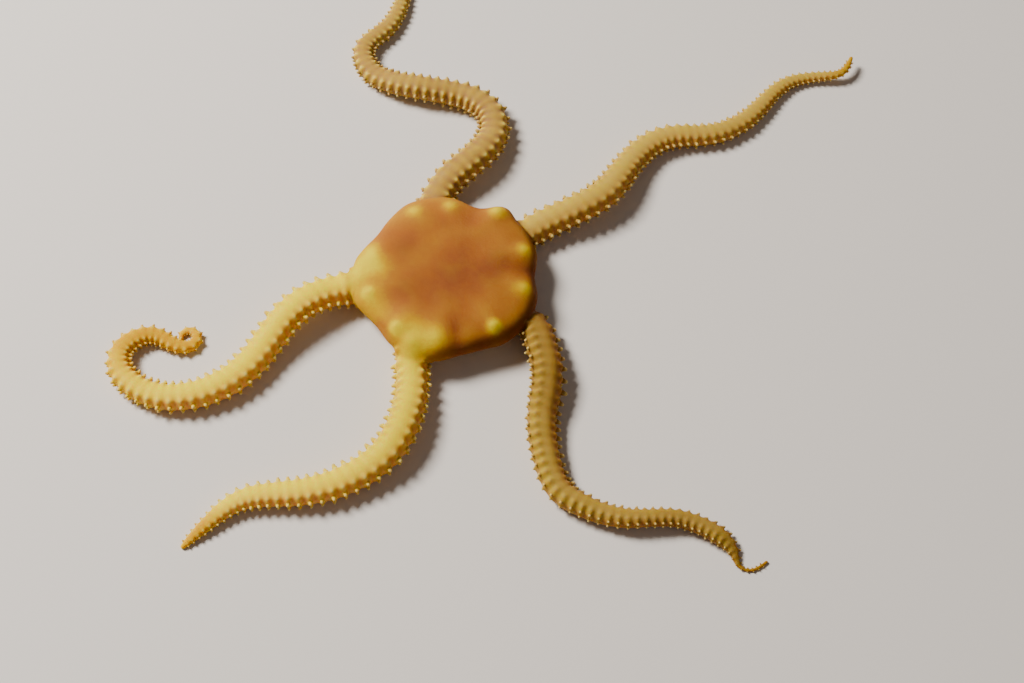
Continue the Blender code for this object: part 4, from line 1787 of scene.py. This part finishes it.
@dataclass
class Skin:
    """The one skin of disc and arms."""

    arms: list[ArmForm]
    disc: DiscForm
    surface: Surface
    layout: MapLayout
    finish: SkinFinish
    voxel: float = 0.165
    arm_step: float = 0.15
    arm_columns: int = 72
    disc_columns: int = 620
    triangles: int = 188000
    funnel_from: float = 3.0
    funnel_to: float = 15.0
    funnel_start: float = 8.3
    funnel_slope: float = 1.9
    funnel_half: float = 2.4
    funnel_top: float = 6.35
    funnel_power: float = 2.3
    funnel_foot: float = 0.6
    funnel_sunk: tuple[float, float] = (0.22, 0.2)
    smoothing: int = 60
    smoothing_reach: tuple[float, float] = (4.8, 1.8)
    smoothing_above: tuple[float, float] = (1.6, 3.0)
    smoothing_under_rim: float = 0.12
    hollow_rounds: int = 14
    calm_spread: float = 3.6
    calm_near: float = 0.9
    calm_disc: float = 0.7

    def build(self, stand: Stand) -> bpy.types.Object:
        """Builds the skin over all nodes of flesh.

        Args:
            stand: Where the animal's middle stands.

        Returns:
            The finished piece.
        """
        skin = self.fused()
        mesh = skin.data
        points = self.relaxed(mesh)
        write_points(mesh, points)
        thinned(skin, self.triangles)
        mesh = skin.data
        mesh.name = "skin"
        points = read_points(mesh)
        marks, placed = self.surface.marks(points)
        marks.store(mesh)
        # Darker in hollows and lighter on peaks, less so near the flowing joints and on the disc: partly the
        # skin's own colour, partly painted shade and painted highlight.
        near = self.surface.near_junctions(points, self.calm_spread)
        calm = (1 - self.calm_near * near) * (1 - self.calm_disc * marks.on_disc)
        set_values(mesh, "hollow", hollowness(mesh, self.hollow_rounds) * calm)
        self.unwrap(mesh, points, marks.on_disc, placed)
        write_points(mesh, stand.placed(points))
        smooth_shaded(mesh)
        mesh.materials.append(self.finish.build(stand))
        nodes = [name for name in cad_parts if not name.startswith("jaw")]
        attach(skin, BODY)
        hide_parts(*nodes)
        return skin

    def fused(self) -> bpy.types.Object:
        """The disc, arms and funnels as one closed surface."""
        shells = [self.disc.surface(self.disc_columns)]
        shells += [arm.surface(self.arm_step, self.arm_columns) for arm in self.arms]
        shells += [self.funnel(arm) for arm in self.arms if arm.flowing]
        skin = shells_object("skin", shells)
        remeshed(skin, self.voxel)
        return skin

    def funnel(self, arm: ArmForm) -> tuple[Array, Array]:
        """The skin that runs from the disc's back on to an arm.

        Args:
            arm: The arm.

        Returns:
            Its points as rings, and the closing points of both ends.
        """
        at = np.arange(self.funnel_from, self.funnel_to, 0.3)[:, None]
        around = np.linspace(0, 2 * math.pi, 64, endpoint=False)[None, :]
        spread = np.exp(-np.maximum(0.0, at - self.funnel_start) / self.funnel_slope)
        half = arm.path.width(at) / 2
        top = half * 2 * arm.path.sizes.height_share
        aside, down = self.funnel_sunk
        wide = half - aside * (1 - spread) + (self.funnel_half - half) * spread
        high = top - down * (1 - spread) + (self.funnel_top - top) * spread
        reach = squared_ring(around, self.funnel_power)
        across = wide * reach * np.cos(around)
        foot = self.funnel_foot
        height = foot + (high - foot) / 2 * (1 + reach * np.sin(around))
        at = at + 0 * around
        points = arm.path.foot(at) + arm.path.left(at) * across[..., None]
        points[..., 2] += height
        return points, np.stack([points[0].mean(axis=0), points[-1].mean(axis=0)])

    def relaxed(self, mesh: bpy.types.Mesh) -> Array:
        """The fused points, smoothed most where an arm flows from the disc.

        Args:
            mesh: The fused mesh.

        Returns:
            The smoothed points.
        """
        neighbours = Neighbours(mesh)
        points = neighbours.kept_size(read_points(mesh), 4)
        strength = np.zeros(len(points))
        above = smooth_step(*self.smoothing_above, points[:, 2])
        for arm in self.arms:
            size = smooth_step(*self.smoothing_reach, arm.from_joint(points)) * above
            strength = np.maximum(strength, size if arm.flowing else size * self.smoothing_under_rim)
        points = neighbours.relaxed(points, self.smoothing, strength)
        write_points(mesh, points)
        points += read_normals(mesh) * self.late_knobs(points)[:, None]
        points[:, 2] = np.maximum(points[:, 2], 0.0)
        return points

    def late_knobs(self, points: Array) -> Array:
        """Height of the knobs that are raised once disc and arms are one skin."""
        placed = self.surface.located(points)
        height = np.zeros(len(points))
        for i, arm in enumerate(self.arms):
            if arm.flowing:
                mine = (placed.owner == i) & (placed.along < arm.studs_to)
                at = placed.along[mine]
                raised = arm.knobs(at, placed.around[mine]) * arm.late(at)
                height[mine] = raised * smooth_step(1.6, 0.9, placed.outside[mine])
        return height

    def unwrap(self, mesh: bpy.types.Mesh, points: Array, on_disc: Array, placed: Placed) -> None:
        """Lays the skin out on the shared unwrap.

        Args:
            mesh: The skin's mesh, all triangles.
            points: Its points.
            on_disc: How far each point belongs to the disc.
            placed: Where the points lie on the arms.
        """
        corners = corner_points(mesh).reshape(-1, 3)
        turn = (placed.around[corners] + math.pi / 2) % (2 * math.pi)
        first = turn[:, :1]
        turn = first + (turn - first + math.pi) % (2 * math.pi) - math.pi
        arm = placed.owner[corners][:, 0]
        places = self.layout.on_arm(arm[:, None], placed.along[corners], turn)
        flat = on_disc[corners].mean(axis=1) > 0.5
        back = points[corners][..., 2].mean(axis=1) > self.disc.middle - 0.4
        for mask, side in ((flat & back, True), (flat & ~back, False)):
            places[mask] = self.layout.on_disc(points[corners[mask]], side, self.disc.middle)
        set_map(mesh, places.reshape(-1, 2))


@dataclass(frozen=True)
class SpineShape:
    """The sizes of the spine that a tree of nodes copies on to every root."""

    name: str
    tip: float = 0.46
    power: float = 0.7
    flare: float = 0.15
    flare_height: float = 0.45
    bend: float = 0.10
    sides: int = 10
    rings: int = 5
    seed: int = SEED

    def tree(self) -> bpy.types.NodeTree:
        """Builds the tree of nodes, with the sizes as its named inputs.

        Returns:
            The tree.
        """
        tree = bpy.data.node_groups.new(self.name, "GeometryNodeTree")
        face = tree.interface
        face.new_socket("Roots", in_out="INPUT", socket_type="NodeSocketGeometry")
        for label in ("Tip", "Power", "Flare", "Flare height", "Bend"):
            face.new_socket(label, in_out="INPUT", socket_type="NodeSocketFloat")
        face.new_socket("Seed", in_out="INPUT", socket_type="NodeSocketInt")
        face.new_socket("Finish", in_out="INPUT", socket_type="NodeSocketMaterial")
        face.new_socket("Spines", in_out="OUTPUT", socket_type="NodeSocketGeometry")
        graph = Graph(tree)
        given = graph.node("NodeGroupInput")
        inputs = {socket.name: Socket(graph, socket) for socket in given.outputs if socket.name}
        shape = self.one_spine(graph, inputs)
        aim = graph.out("GeometryNodeInputNamedAttribute", {"data_type": "FLOAT_VECTOR"}, {"Name": "aim"})
        size = graph.out("GeometryNodeInputNamedAttribute", {"data_type": "FLOAT_VECTOR"}, {"Name": "size"})
        lean = graph.out("FunctionNodeAlignRotationToVector", {"axis": "Z"}, {"Vector": aim})
        limits = {2: 0.0, 3: 2 * math.pi, "Seed": inputs["Seed"]}
        turned = graph.out("FunctionNodeRandomValue", {"data_type": "FLOAT"}, limits, 1)
        own = graph.out("FunctionNodeAxisAngleToRotation", None, {"Axis": (0.0, 0.0, 1.0), "Angle": turned})
        sockets = {"Rotation": lean, "Rotate By": own}
        turn = graph.out("FunctionNodeRotateRotation", {"rotation_space": "LOCAL"}, sockets)
        sockets = {"Points": inputs["Roots"], "Instance": shape, "Rotation": turn, "Scale": size}
        copies = graph.out("GeometryNodeInstanceOnPoints", None, sockets)
        real = graph.out("GeometryNodeRealizeInstances", None, {"Geometry": copies})
        dressed = graph.out("GeometryNodeSetMaterial", None, {"Geometry": real, "Material": inputs["Finish"]})
        graph.node("NodeGroupOutput", None, {"Spines": dressed})
        return tree

    def one_spine(self, graph: Graph, inputs: Mapping[str, Socket]) -> Socket:
        """One spine of height 1 and radius 1, flared at its foot and blunt at its tip.

        Args:
            graph: The tree.
            inputs: The tree's named inputs.

        Returns:
            The spine's mesh, with its height and its turn stored at its points.
        """
        sockets = {"Vertices": self.sides, "Side Segments": self.rings, "Radius": 1.0, "Depth": 1.0}
        tube = graph.out("GeometryNodeMeshCylinder", {"fill_type": "TRIANGLE_FAN"}, sockets, "Mesh")
        place = graph.out("GeometryNodeInputPosition")
        parts = graph.node("ShaderNodeSeparateXYZ", None, {0: place})
        x, y, z = (Socket(graph, output) for output in parts.outputs)
        height = (z + 0.5).clamped()
        body = inputs["Tip"] + (1 - inputs["Tip"]) * (1 - height) ** inputs["Power"]
        foot = inputs["Flare"] * (1 - height / inputs["Flare height"]).clamped() ** 2
        width = body * (1 - inputs["Flare"]) + foot
        lean = inputs["Bend"] * height * height
        middle = 1 - (x * x + y * y).math("SQRT")
        raised = height + middle * 0.06
        moved = graph.out("ShaderNodeCombineXYZ", None, {0: x * width + lean, 1: y * width, 2: raised})
        shaped = graph.out("GeometryNodeSetPosition", None, {"Geometry": tube, "Position": moved})
        turn = y.math("ARCTAN2", x) / (2 * math.pi) + 0.5
        kept = self.stored(graph, tube, "height", height)
        kept = self.stored(graph, kept, "turn", turn)
        graph.tree.links.new(kept.link, shaped.link.node.inputs["Geometry"])
        return shaped

    @staticmethod
    def stored(graph: Graph, geometry: Socket, name: str, value: Socket) -> Socket:
        """Stores a number at the points of a mesh inside the tree."""
        settings = {"data_type": "FLOAT", "domain": "POINT"}
        sockets = {"Geometry": geometry, "Name": name, "Value": value}
        return graph.out("GeometryNodeStoreNamedAttribute", settings, sockets)

    def set_inputs(self, modifier: bpy.types.Modifier, finish: bpy.types.Material) -> None:
        """Sets the named inputs of a modifier that runs the tree."""
        values = {
            "Tip": self.tip,
            "Power": self.power,
            "Flare": self.flare,
            "Flare height": self.flare_height,
            "Bend": self.bend,
            "Seed": self.seed,
            "Finish": finish,
        }
        for item in modifier.node_group.interface.items_tree:
            if item.item_type == "SOCKET" and item.in_out == "INPUT" and item.name in values:
                modifier[item.identifier] = values[item.name]


@dataclass
class SpineCoat:
    """Copies of one spine on many roots, as one mesh."""

    shape: SpineShape
    surface: Surface
    layout: MapLayout
    patch: float = 0.0032

    def build(
        self,
        name: str,
        index: int,
        spines: Sequence[Spine],
        pale: float,
        finish: bpy.types.Material,
        stand: Stand,
    ) -> bpy.types.Object:
        """Builds the spines of one arm.

        Args:
            name: The piece's name.
            index: The arm's number.
            spines: The spines.
            pale: How much cream the whole spine takes, from 0 to 1.
            finish: The material.
            stand: Where the animal's middle stands.

        Returns:
            The finished piece.
        """
        made = linked(name, self.roots(name, index, spines, pale, stand))
        modifier = made.modifiers.new("spines", "NODES")
        modifier.node_group = self.shape.tree()
        self.shape.set_inputs(modifier, finish)
        evaluated_mesh(made)
        self.unwrap(made.data)
        smooth_shaded(made.data)
        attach(made, BODY)
        return made

    def roots(
        self, name: str, index: int, spines: Sequence[Spine], pale: float, stand: Stand
    ) -> bpy.types.Mesh:
        """The roots of spines as loose points that carry what the tree of nodes and the material read.

        Args:
            name: The mesh's name.
            index: The arm's number.
            spines: The spines.
            pale: How much cream the whole spine takes, from 0 to 1.
            stand: Where the animal's middle stands.

        Returns:
            The mesh.
        """
        roots = np.array([spine.root for spine in spines])
        surface_points = np.array([spine.root + spine.aim * spine.radius for spine in spines])
        mesh = bpy.data.meshes.new(name)
        mesh.from_pydata(stand.placed(roots).tolist(), [], [])
        sizes = np.array([(spine.radius, spine.radius, spine.length) for spine in spines]) * MM
        set_values(mesh, "aim", np.array([spine.aim for spine in spines]))
        set_values(mesh, "size", sizes)
        marks, _ = self.surface.marks(surface_points)
        marks.flank *= 0.4
        marks.belly *= 0.0
        marks.spot *= 0.0
        marks.store(mesh)
        around = np.array([spine.around for spine in spines]) + math.pi / 2
        along = np.array([spine.along for spine in spines])
        places = self.layout.on_arm(index, along, around % (2 * math.pi))
        set_values(mesh, "root_u", places[:, 0])
        set_values(mesh, "root_v", places[:, 1])
        # Spines count as slight peaks, so they take a little of the painted highlight.
        set_values(mesh, "hollow", np.full(len(roots), -0.15))
        set_values(mesh, "pale", np.full(len(roots), pale))
        return mesh

    def unwrap(self, mesh: bpy.types.Mesh) -> None:
        """Lays each spine out as a small patch at its root's place."""
        corners = corner_points(mesh)
        names = ("root_u", "root_v", "height", "turn")
        values = [read(mesh.attributes[name].data, "value", 1)[corners, 0] for name in names]
        at_u, at_v, height, turn = values
        u = at_u + (height - 0.5) * self.patch
        v = at_v + (turn - 0.5) * self.patch
        for name in ("root_u", "root_v", "turn", "aim", "size"):
            if name in mesh.attributes:
                mesh.attributes.remove(mesh.attributes[name])
        set_map(mesh, np.stack([u, v], -1))


@dataclass
class TubeFeet:
    """The short soft feet in two rows under each arm."""

    arm: ArmForm
    angle: float = -60.0
    radius: float = 0.17
    length: float = 0.42
    first: float = 1.0
    last_share: float = 0.93

    def feet(self) -> list[Spine]:
        """The feet of one arm, two for each segment.

        Returns:
            The feet.
        """
        made = []
        for place in self.arm.places[:-1]:
            if not self.first < place < self.arm.path.length * self.last_share:
                continue
            at = np.array(float(place) + 0.5 * float(self.arm.step(np.array(place))))
            share = float(self.arm.share(at))
            angle = math.radians(self.angle)
            for side in (1, -1):
                around = np.array(angle if side == 1 else math.pi - angle)
                root = self.arm.points(at, around)
                aim = self.arm.path.left(at) * side * 0.9 + np.array([0.0, 0.0, -0.25])
                aim = aim / np.linalg.norm(aim)
                radius = min(self.radius * share**0.6, 0.8 * float(root[2]) + 0.02)
                length = self.length * share + radius
                made.append(Spine(root - aim * radius, aim, length, radius, float(at), float(around)))
        return made


@dataclass
class Mouth:
    """The five jaws under the disc, with their plates, papillae and teeth."""

    finish: JawFinish
    bearings: Sequence[float]
    slit: float = 0.6
    point: float = 1.4
    back: float = 4.6
    low: float = 0.5
    high: float = 2.62
    ring_power: float = 3.2
    voxel: float = 0.085
    triangles: int = 9000

    def half(self, at: Array) -> Array:
        """Half a jaw's width at distances from the mouth's middle."""
        spread = math.pi / len(self.bearings)
        wedge = at * math.tan(spread) - self.slit / math.cos(spread)
        rim = np.sqrt(np.maximum(0.01, self.back**2 - at**2))
        return np.maximum(0.33, np.minimum(wedge, rim))

    def body(self) -> tuple[Array, Array]:
        """The jaw's wedge as rings of points and its two closing points."""
        evenly = np.linspace(self.point + 0.1, self.back - 0.25, 40)
        at = np.concatenate([[self.point + 0.02], evenly])[:, None]
        around = np.linspace(0, 2 * math.pi, 48, endpoint=False)[None, :]
        reach = squared_ring(around, self.ring_power)
        closing = smooth_step(self.point - 0.15, self.point + 0.5, at)
        closing = closing * smooth_step(self.back, self.back - 0.5, at)
        y = self.half(at) * reach * np.cos(around) * (0.5 + 0.5 * closing)
        tall = (self.high - self.low) / 2
        z = self.low + tall * (1 + reach * np.sin(around))
        points = np.stack(np.broadcast_arrays(at, y, z), -1)
        return points, np.stack([points[0].mean(axis=0), points[-1].mean(axis=0)])

    @staticmethod
    def lump(
        middle: Sequence[float], radii: Sequence[float], turn: float, lean: float
    ) -> tuple[Array, Array]:
        """A rounded plate or papilla.

        Args:
            middle: Its middle.
            radii: Its three half sizes.
            turn: Its turn about the upright, in degrees.
            lean: How far its far end leans down, in degrees.

        Returns:
            Its points as rings, and its two closing points.
        """
        rise = np.linspace(-math.pi / 2, math.pi / 2, 14)[1:-1, None]
        around = np.linspace(0, 2 * math.pi, 20, endpoint=False)[None, :]
        x = np.sin(rise) + 0 * around
        y = np.cos(rise) * np.cos(around)
        z = np.cos(rise) * np.sin(around)
        points = np.stack([x, y, z], -1) * np.array(radii)
        ends = np.array([[-1.0, 0, 0], [1.0, 0, 0]]) * np.array(radii)
        down, side = math.radians(lean), math.radians(turn)
        cos, sin = math.cos(down), math.sin(down)
        pitch = np.array([[cos, 0, sin], [0, 1, 0], [-sin, 0, cos]])
        matrix = upright_turn(side) @ pitch
        return points @ matrix.T + np.array(middle), ends @ matrix.T + np.array(middle)

    def parts(self) -> list[tuple[Array, Array]]:
        """Every closed shell of one jaw that points along +X."""
        made = [self.body()]
        made.append(self.lump((3.35, 0.0, 0.62), (0.95, 1.12, 0.34), 0.0, 0.0))
        made.append(self.lump((4.0, 0.0, 0.66), (0.5, 1.45, 0.28), 0.0, 0.0))
        for side in (1, -1):
            made.append(self.lump((2.35, side * 0.42, 0.58), (0.62, 0.34, 0.26), side * 28.0, 0.0))
            for i in range(5):
                at = self.point + 0.28 + 0.5 * i
                edge = float(self.half(np.array(at)))
                place = (at, side * (edge + 0.02), 0.78 + 0.05 * i)
                made.append(self.lump(place, (0.36, 0.21, 0.15), side * (112.0 - 6 * i), 20.0))
        for i in range(4):
            made.append(self.lump((self.point - 0.05, 0.0, 0.72 + 0.5 * i), (0.5, 0.3, 0.15), 180.0, 10.0))
        for side in (1, -1):
            place = (self.point + 0.12, side * 0.24, 0.62)
            made.append(self.lump(place, (0.34, 0.17, 0.15), 180.0 - side * 24.0, 22.0))
        return made

    def build(self, stand: Stand) -> bpy.types.Object:
        """Builds the five jaws as one piece.

        Args:
            stand: Where the animal's middle stands.

        Returns:
            The finished piece.
        """
        jaw = shells_object("jaws", self.parts())
        remeshed(jaw, self.voxel)
        neighbours = Neighbours(jaw.data)
        write_points(jaw.data, neighbours.kept_size(read_points(jaw.data), 2))
        thinned(jaw, self.triangles)
        self.repeated(jaw, stand)
        return jaw

    def repeated(self, jaw: bpy.types.Object, stand: Stand) -> None:
        """Turns one jaw into all five and dresses them."""
        points = read_points(jaw.data)
        hollow = hollowness(jaw.data, 8)
        corners = corner_points(jaw.data).reshape(-1, 3)
        turned = [points @ upright_turn(math.radians(bearing)).T for bearing in self.bearings]
        faces = np.concatenate([corners + len(points) * i for i in range(len(self.bearings))])
        old = jaw.data
        mesh = bpy.data.meshes.new("jaws")
        mesh.from_pydata(stand.placed(np.concatenate(turned)).tolist(), [], faces.tolist())
        jaw.data = mesh
        bpy.data.meshes.remove(old)
        set_values(mesh, "hollow", np.tile(hollow, len(self.bearings)))
        smooth_shaded(mesh)
        mesh.materials.append(self.finish.build())
        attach(jaw, BODY)
        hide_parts(*[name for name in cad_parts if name.startswith("jaw")])


@dataclass(frozen=True)
class AreaLight:
    """One soft light: its place from the disc's middle in metres, its size and its power."""

    name: str
    place: tuple[float, float, float]
    size: float
    power: float
    colour: tuple[float, float, float]


@dataclass(frozen=True)
class Studio:
    """Camera, lights and floor."""

    eye: tuple[float, float, float] = (10.06, -140.74, 227.80)
    tilt: float = 30.0
    lens: float = 60.0
    sensor: float = 36.0
    floor_size: float = 3.0
    world: tuple[float, float, float, float] = (1.0, 0.90, 0.84, 1.0)
    world_strength: float = 0.11
    lights: tuple[AreaLight, ...] = (
        AreaLight("key", (-0.3525, 0.195, 0.435), 0.18, 7.2, (1.0, 0.98, 0.94)),
        AreaLight("fill", (0.35, -0.30, 0.35), 0.40, 0.18, (1.0, 0.88, 0.80)),
    )

    def build(self, stand: Stand) -> None:
        """Sets up camera, lights and floor.

        Args:
            stand: Where the animal's middle stands.
        """
        self.add_camera(stand)
        for light in self.lights:
            self.add_light(light, stand)
        self.add_floor(stand)
        self.add_world()

    def add_camera(self, stand: Stand) -> None:
        """Adds the camera at the photograph's viewing angle."""
        data = bpy.data.cameras.new("camera")
        data.lens = self.lens
        data.sensor_width = self.sensor
        data.clip_start = 0.01
        camera = linked("camera", data)
        eye = np.array(self.eye) * MM
        camera.location = (stand.x + eye[0], stand.y + eye[1], eye[2])
        camera.rotation_euler = (math.radians(self.tilt), 0.0, 0.0)
        bpy.context.scene.camera = camera

    @staticmethod
    def add_light(light: AreaLight, stand: Stand) -> None:
        """Adds one light that faces the disc's middle."""
        data = bpy.data.lights.new(light.name, "AREA")
        data.size = light.size
        data.energy = light.power
        data.color = light.colour
        made = linked(light.name, data)
        made.location = (stand.x + light.place[0], stand.y + light.place[1], light.place[2])
        made.rotation_euler = (-Vector(light.place)).to_track_quat("-Z", "Y").to_euler()

    def add_floor(self, stand: Stand) -> None:
        """Adds the plain floor."""
        half = self.floor_size / 2
        signs = ((-1, -1), (1, -1), (1, 1), (-1, 1))
        corners = [(stand.x + x * half, stand.y + y * half, 0.0) for x, y in signs]
        mesh = bpy.data.meshes.new("floor")
        mesh.from_pydata(corners, [], [(0, 1, 2, 3)])
        floor = linked("floor", mesh)
        mesh.materials.append(FloorFinish().build())

    def add_world(self) -> None:
        """Adds the even light of the room."""
        world = bpy.data.worlds.new("room")
        bpy.context.scene.world = world
        world.use_nodes = True
        background = world.node_tree.nodes["Background"]
        background.inputs["Color"].default_value = self.world
        background.inputs["Strength"].default_value = self.world_strength


def report(piece: bpy.types.Object) -> None:
    """Logs a piece's name and its number of faces."""
    LOG.info("%s: %d faces", piece.name, len(piece.data.polygons))


def main() -> None:
    """Builds the animal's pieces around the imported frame."""
    logging.basicConfig(level=logging.INFO, format="%(name)s %(message)s")
    stand = Stand.from_frame()
    Studio().build(stand)
    sizes = ArmSizes()
    arms = [ArmForm(ArmPath(plan, sizes), i) for i, plan in enumerate(ARM_PLANS)]
    disc = DiscForm()
    surface = Surface(arms, disc)
    layout = MapLayout()
    report(Skin(arms, disc, surface, layout, SkinFinish()).build(stand))
    finish = SpineFinish().build()
    spines = SpineCoat(SpineShape("spine_tree"), surface, layout)
    feet = SpineCoat(SpineShape("tube_foot_tree", tip=0.62, power=0.5, flare=0.1, bend=0.2), surface, layout)
    for i, arm in enumerate(arms):
        name = arm.path.plan.name
        report(spines.build(f"{name}_spines", i, arm.spines(), 0.0, finish, stand))
        report(feet.build(f"{name}_tube_feet", i, TubeFeet(arm).feet(), 0.5, finish, stand))
    bearings = sorted(plan.bearing % 360 for plan in ARM_PLANS)
    middles = [(low + high) / 2 for low, high in zip(bearings, [*bearings[1:], bearings[0] + 360])]
    report(Mouth(JawFinish(), middles).build(stand))


if __name__ == "__main__":
    main()
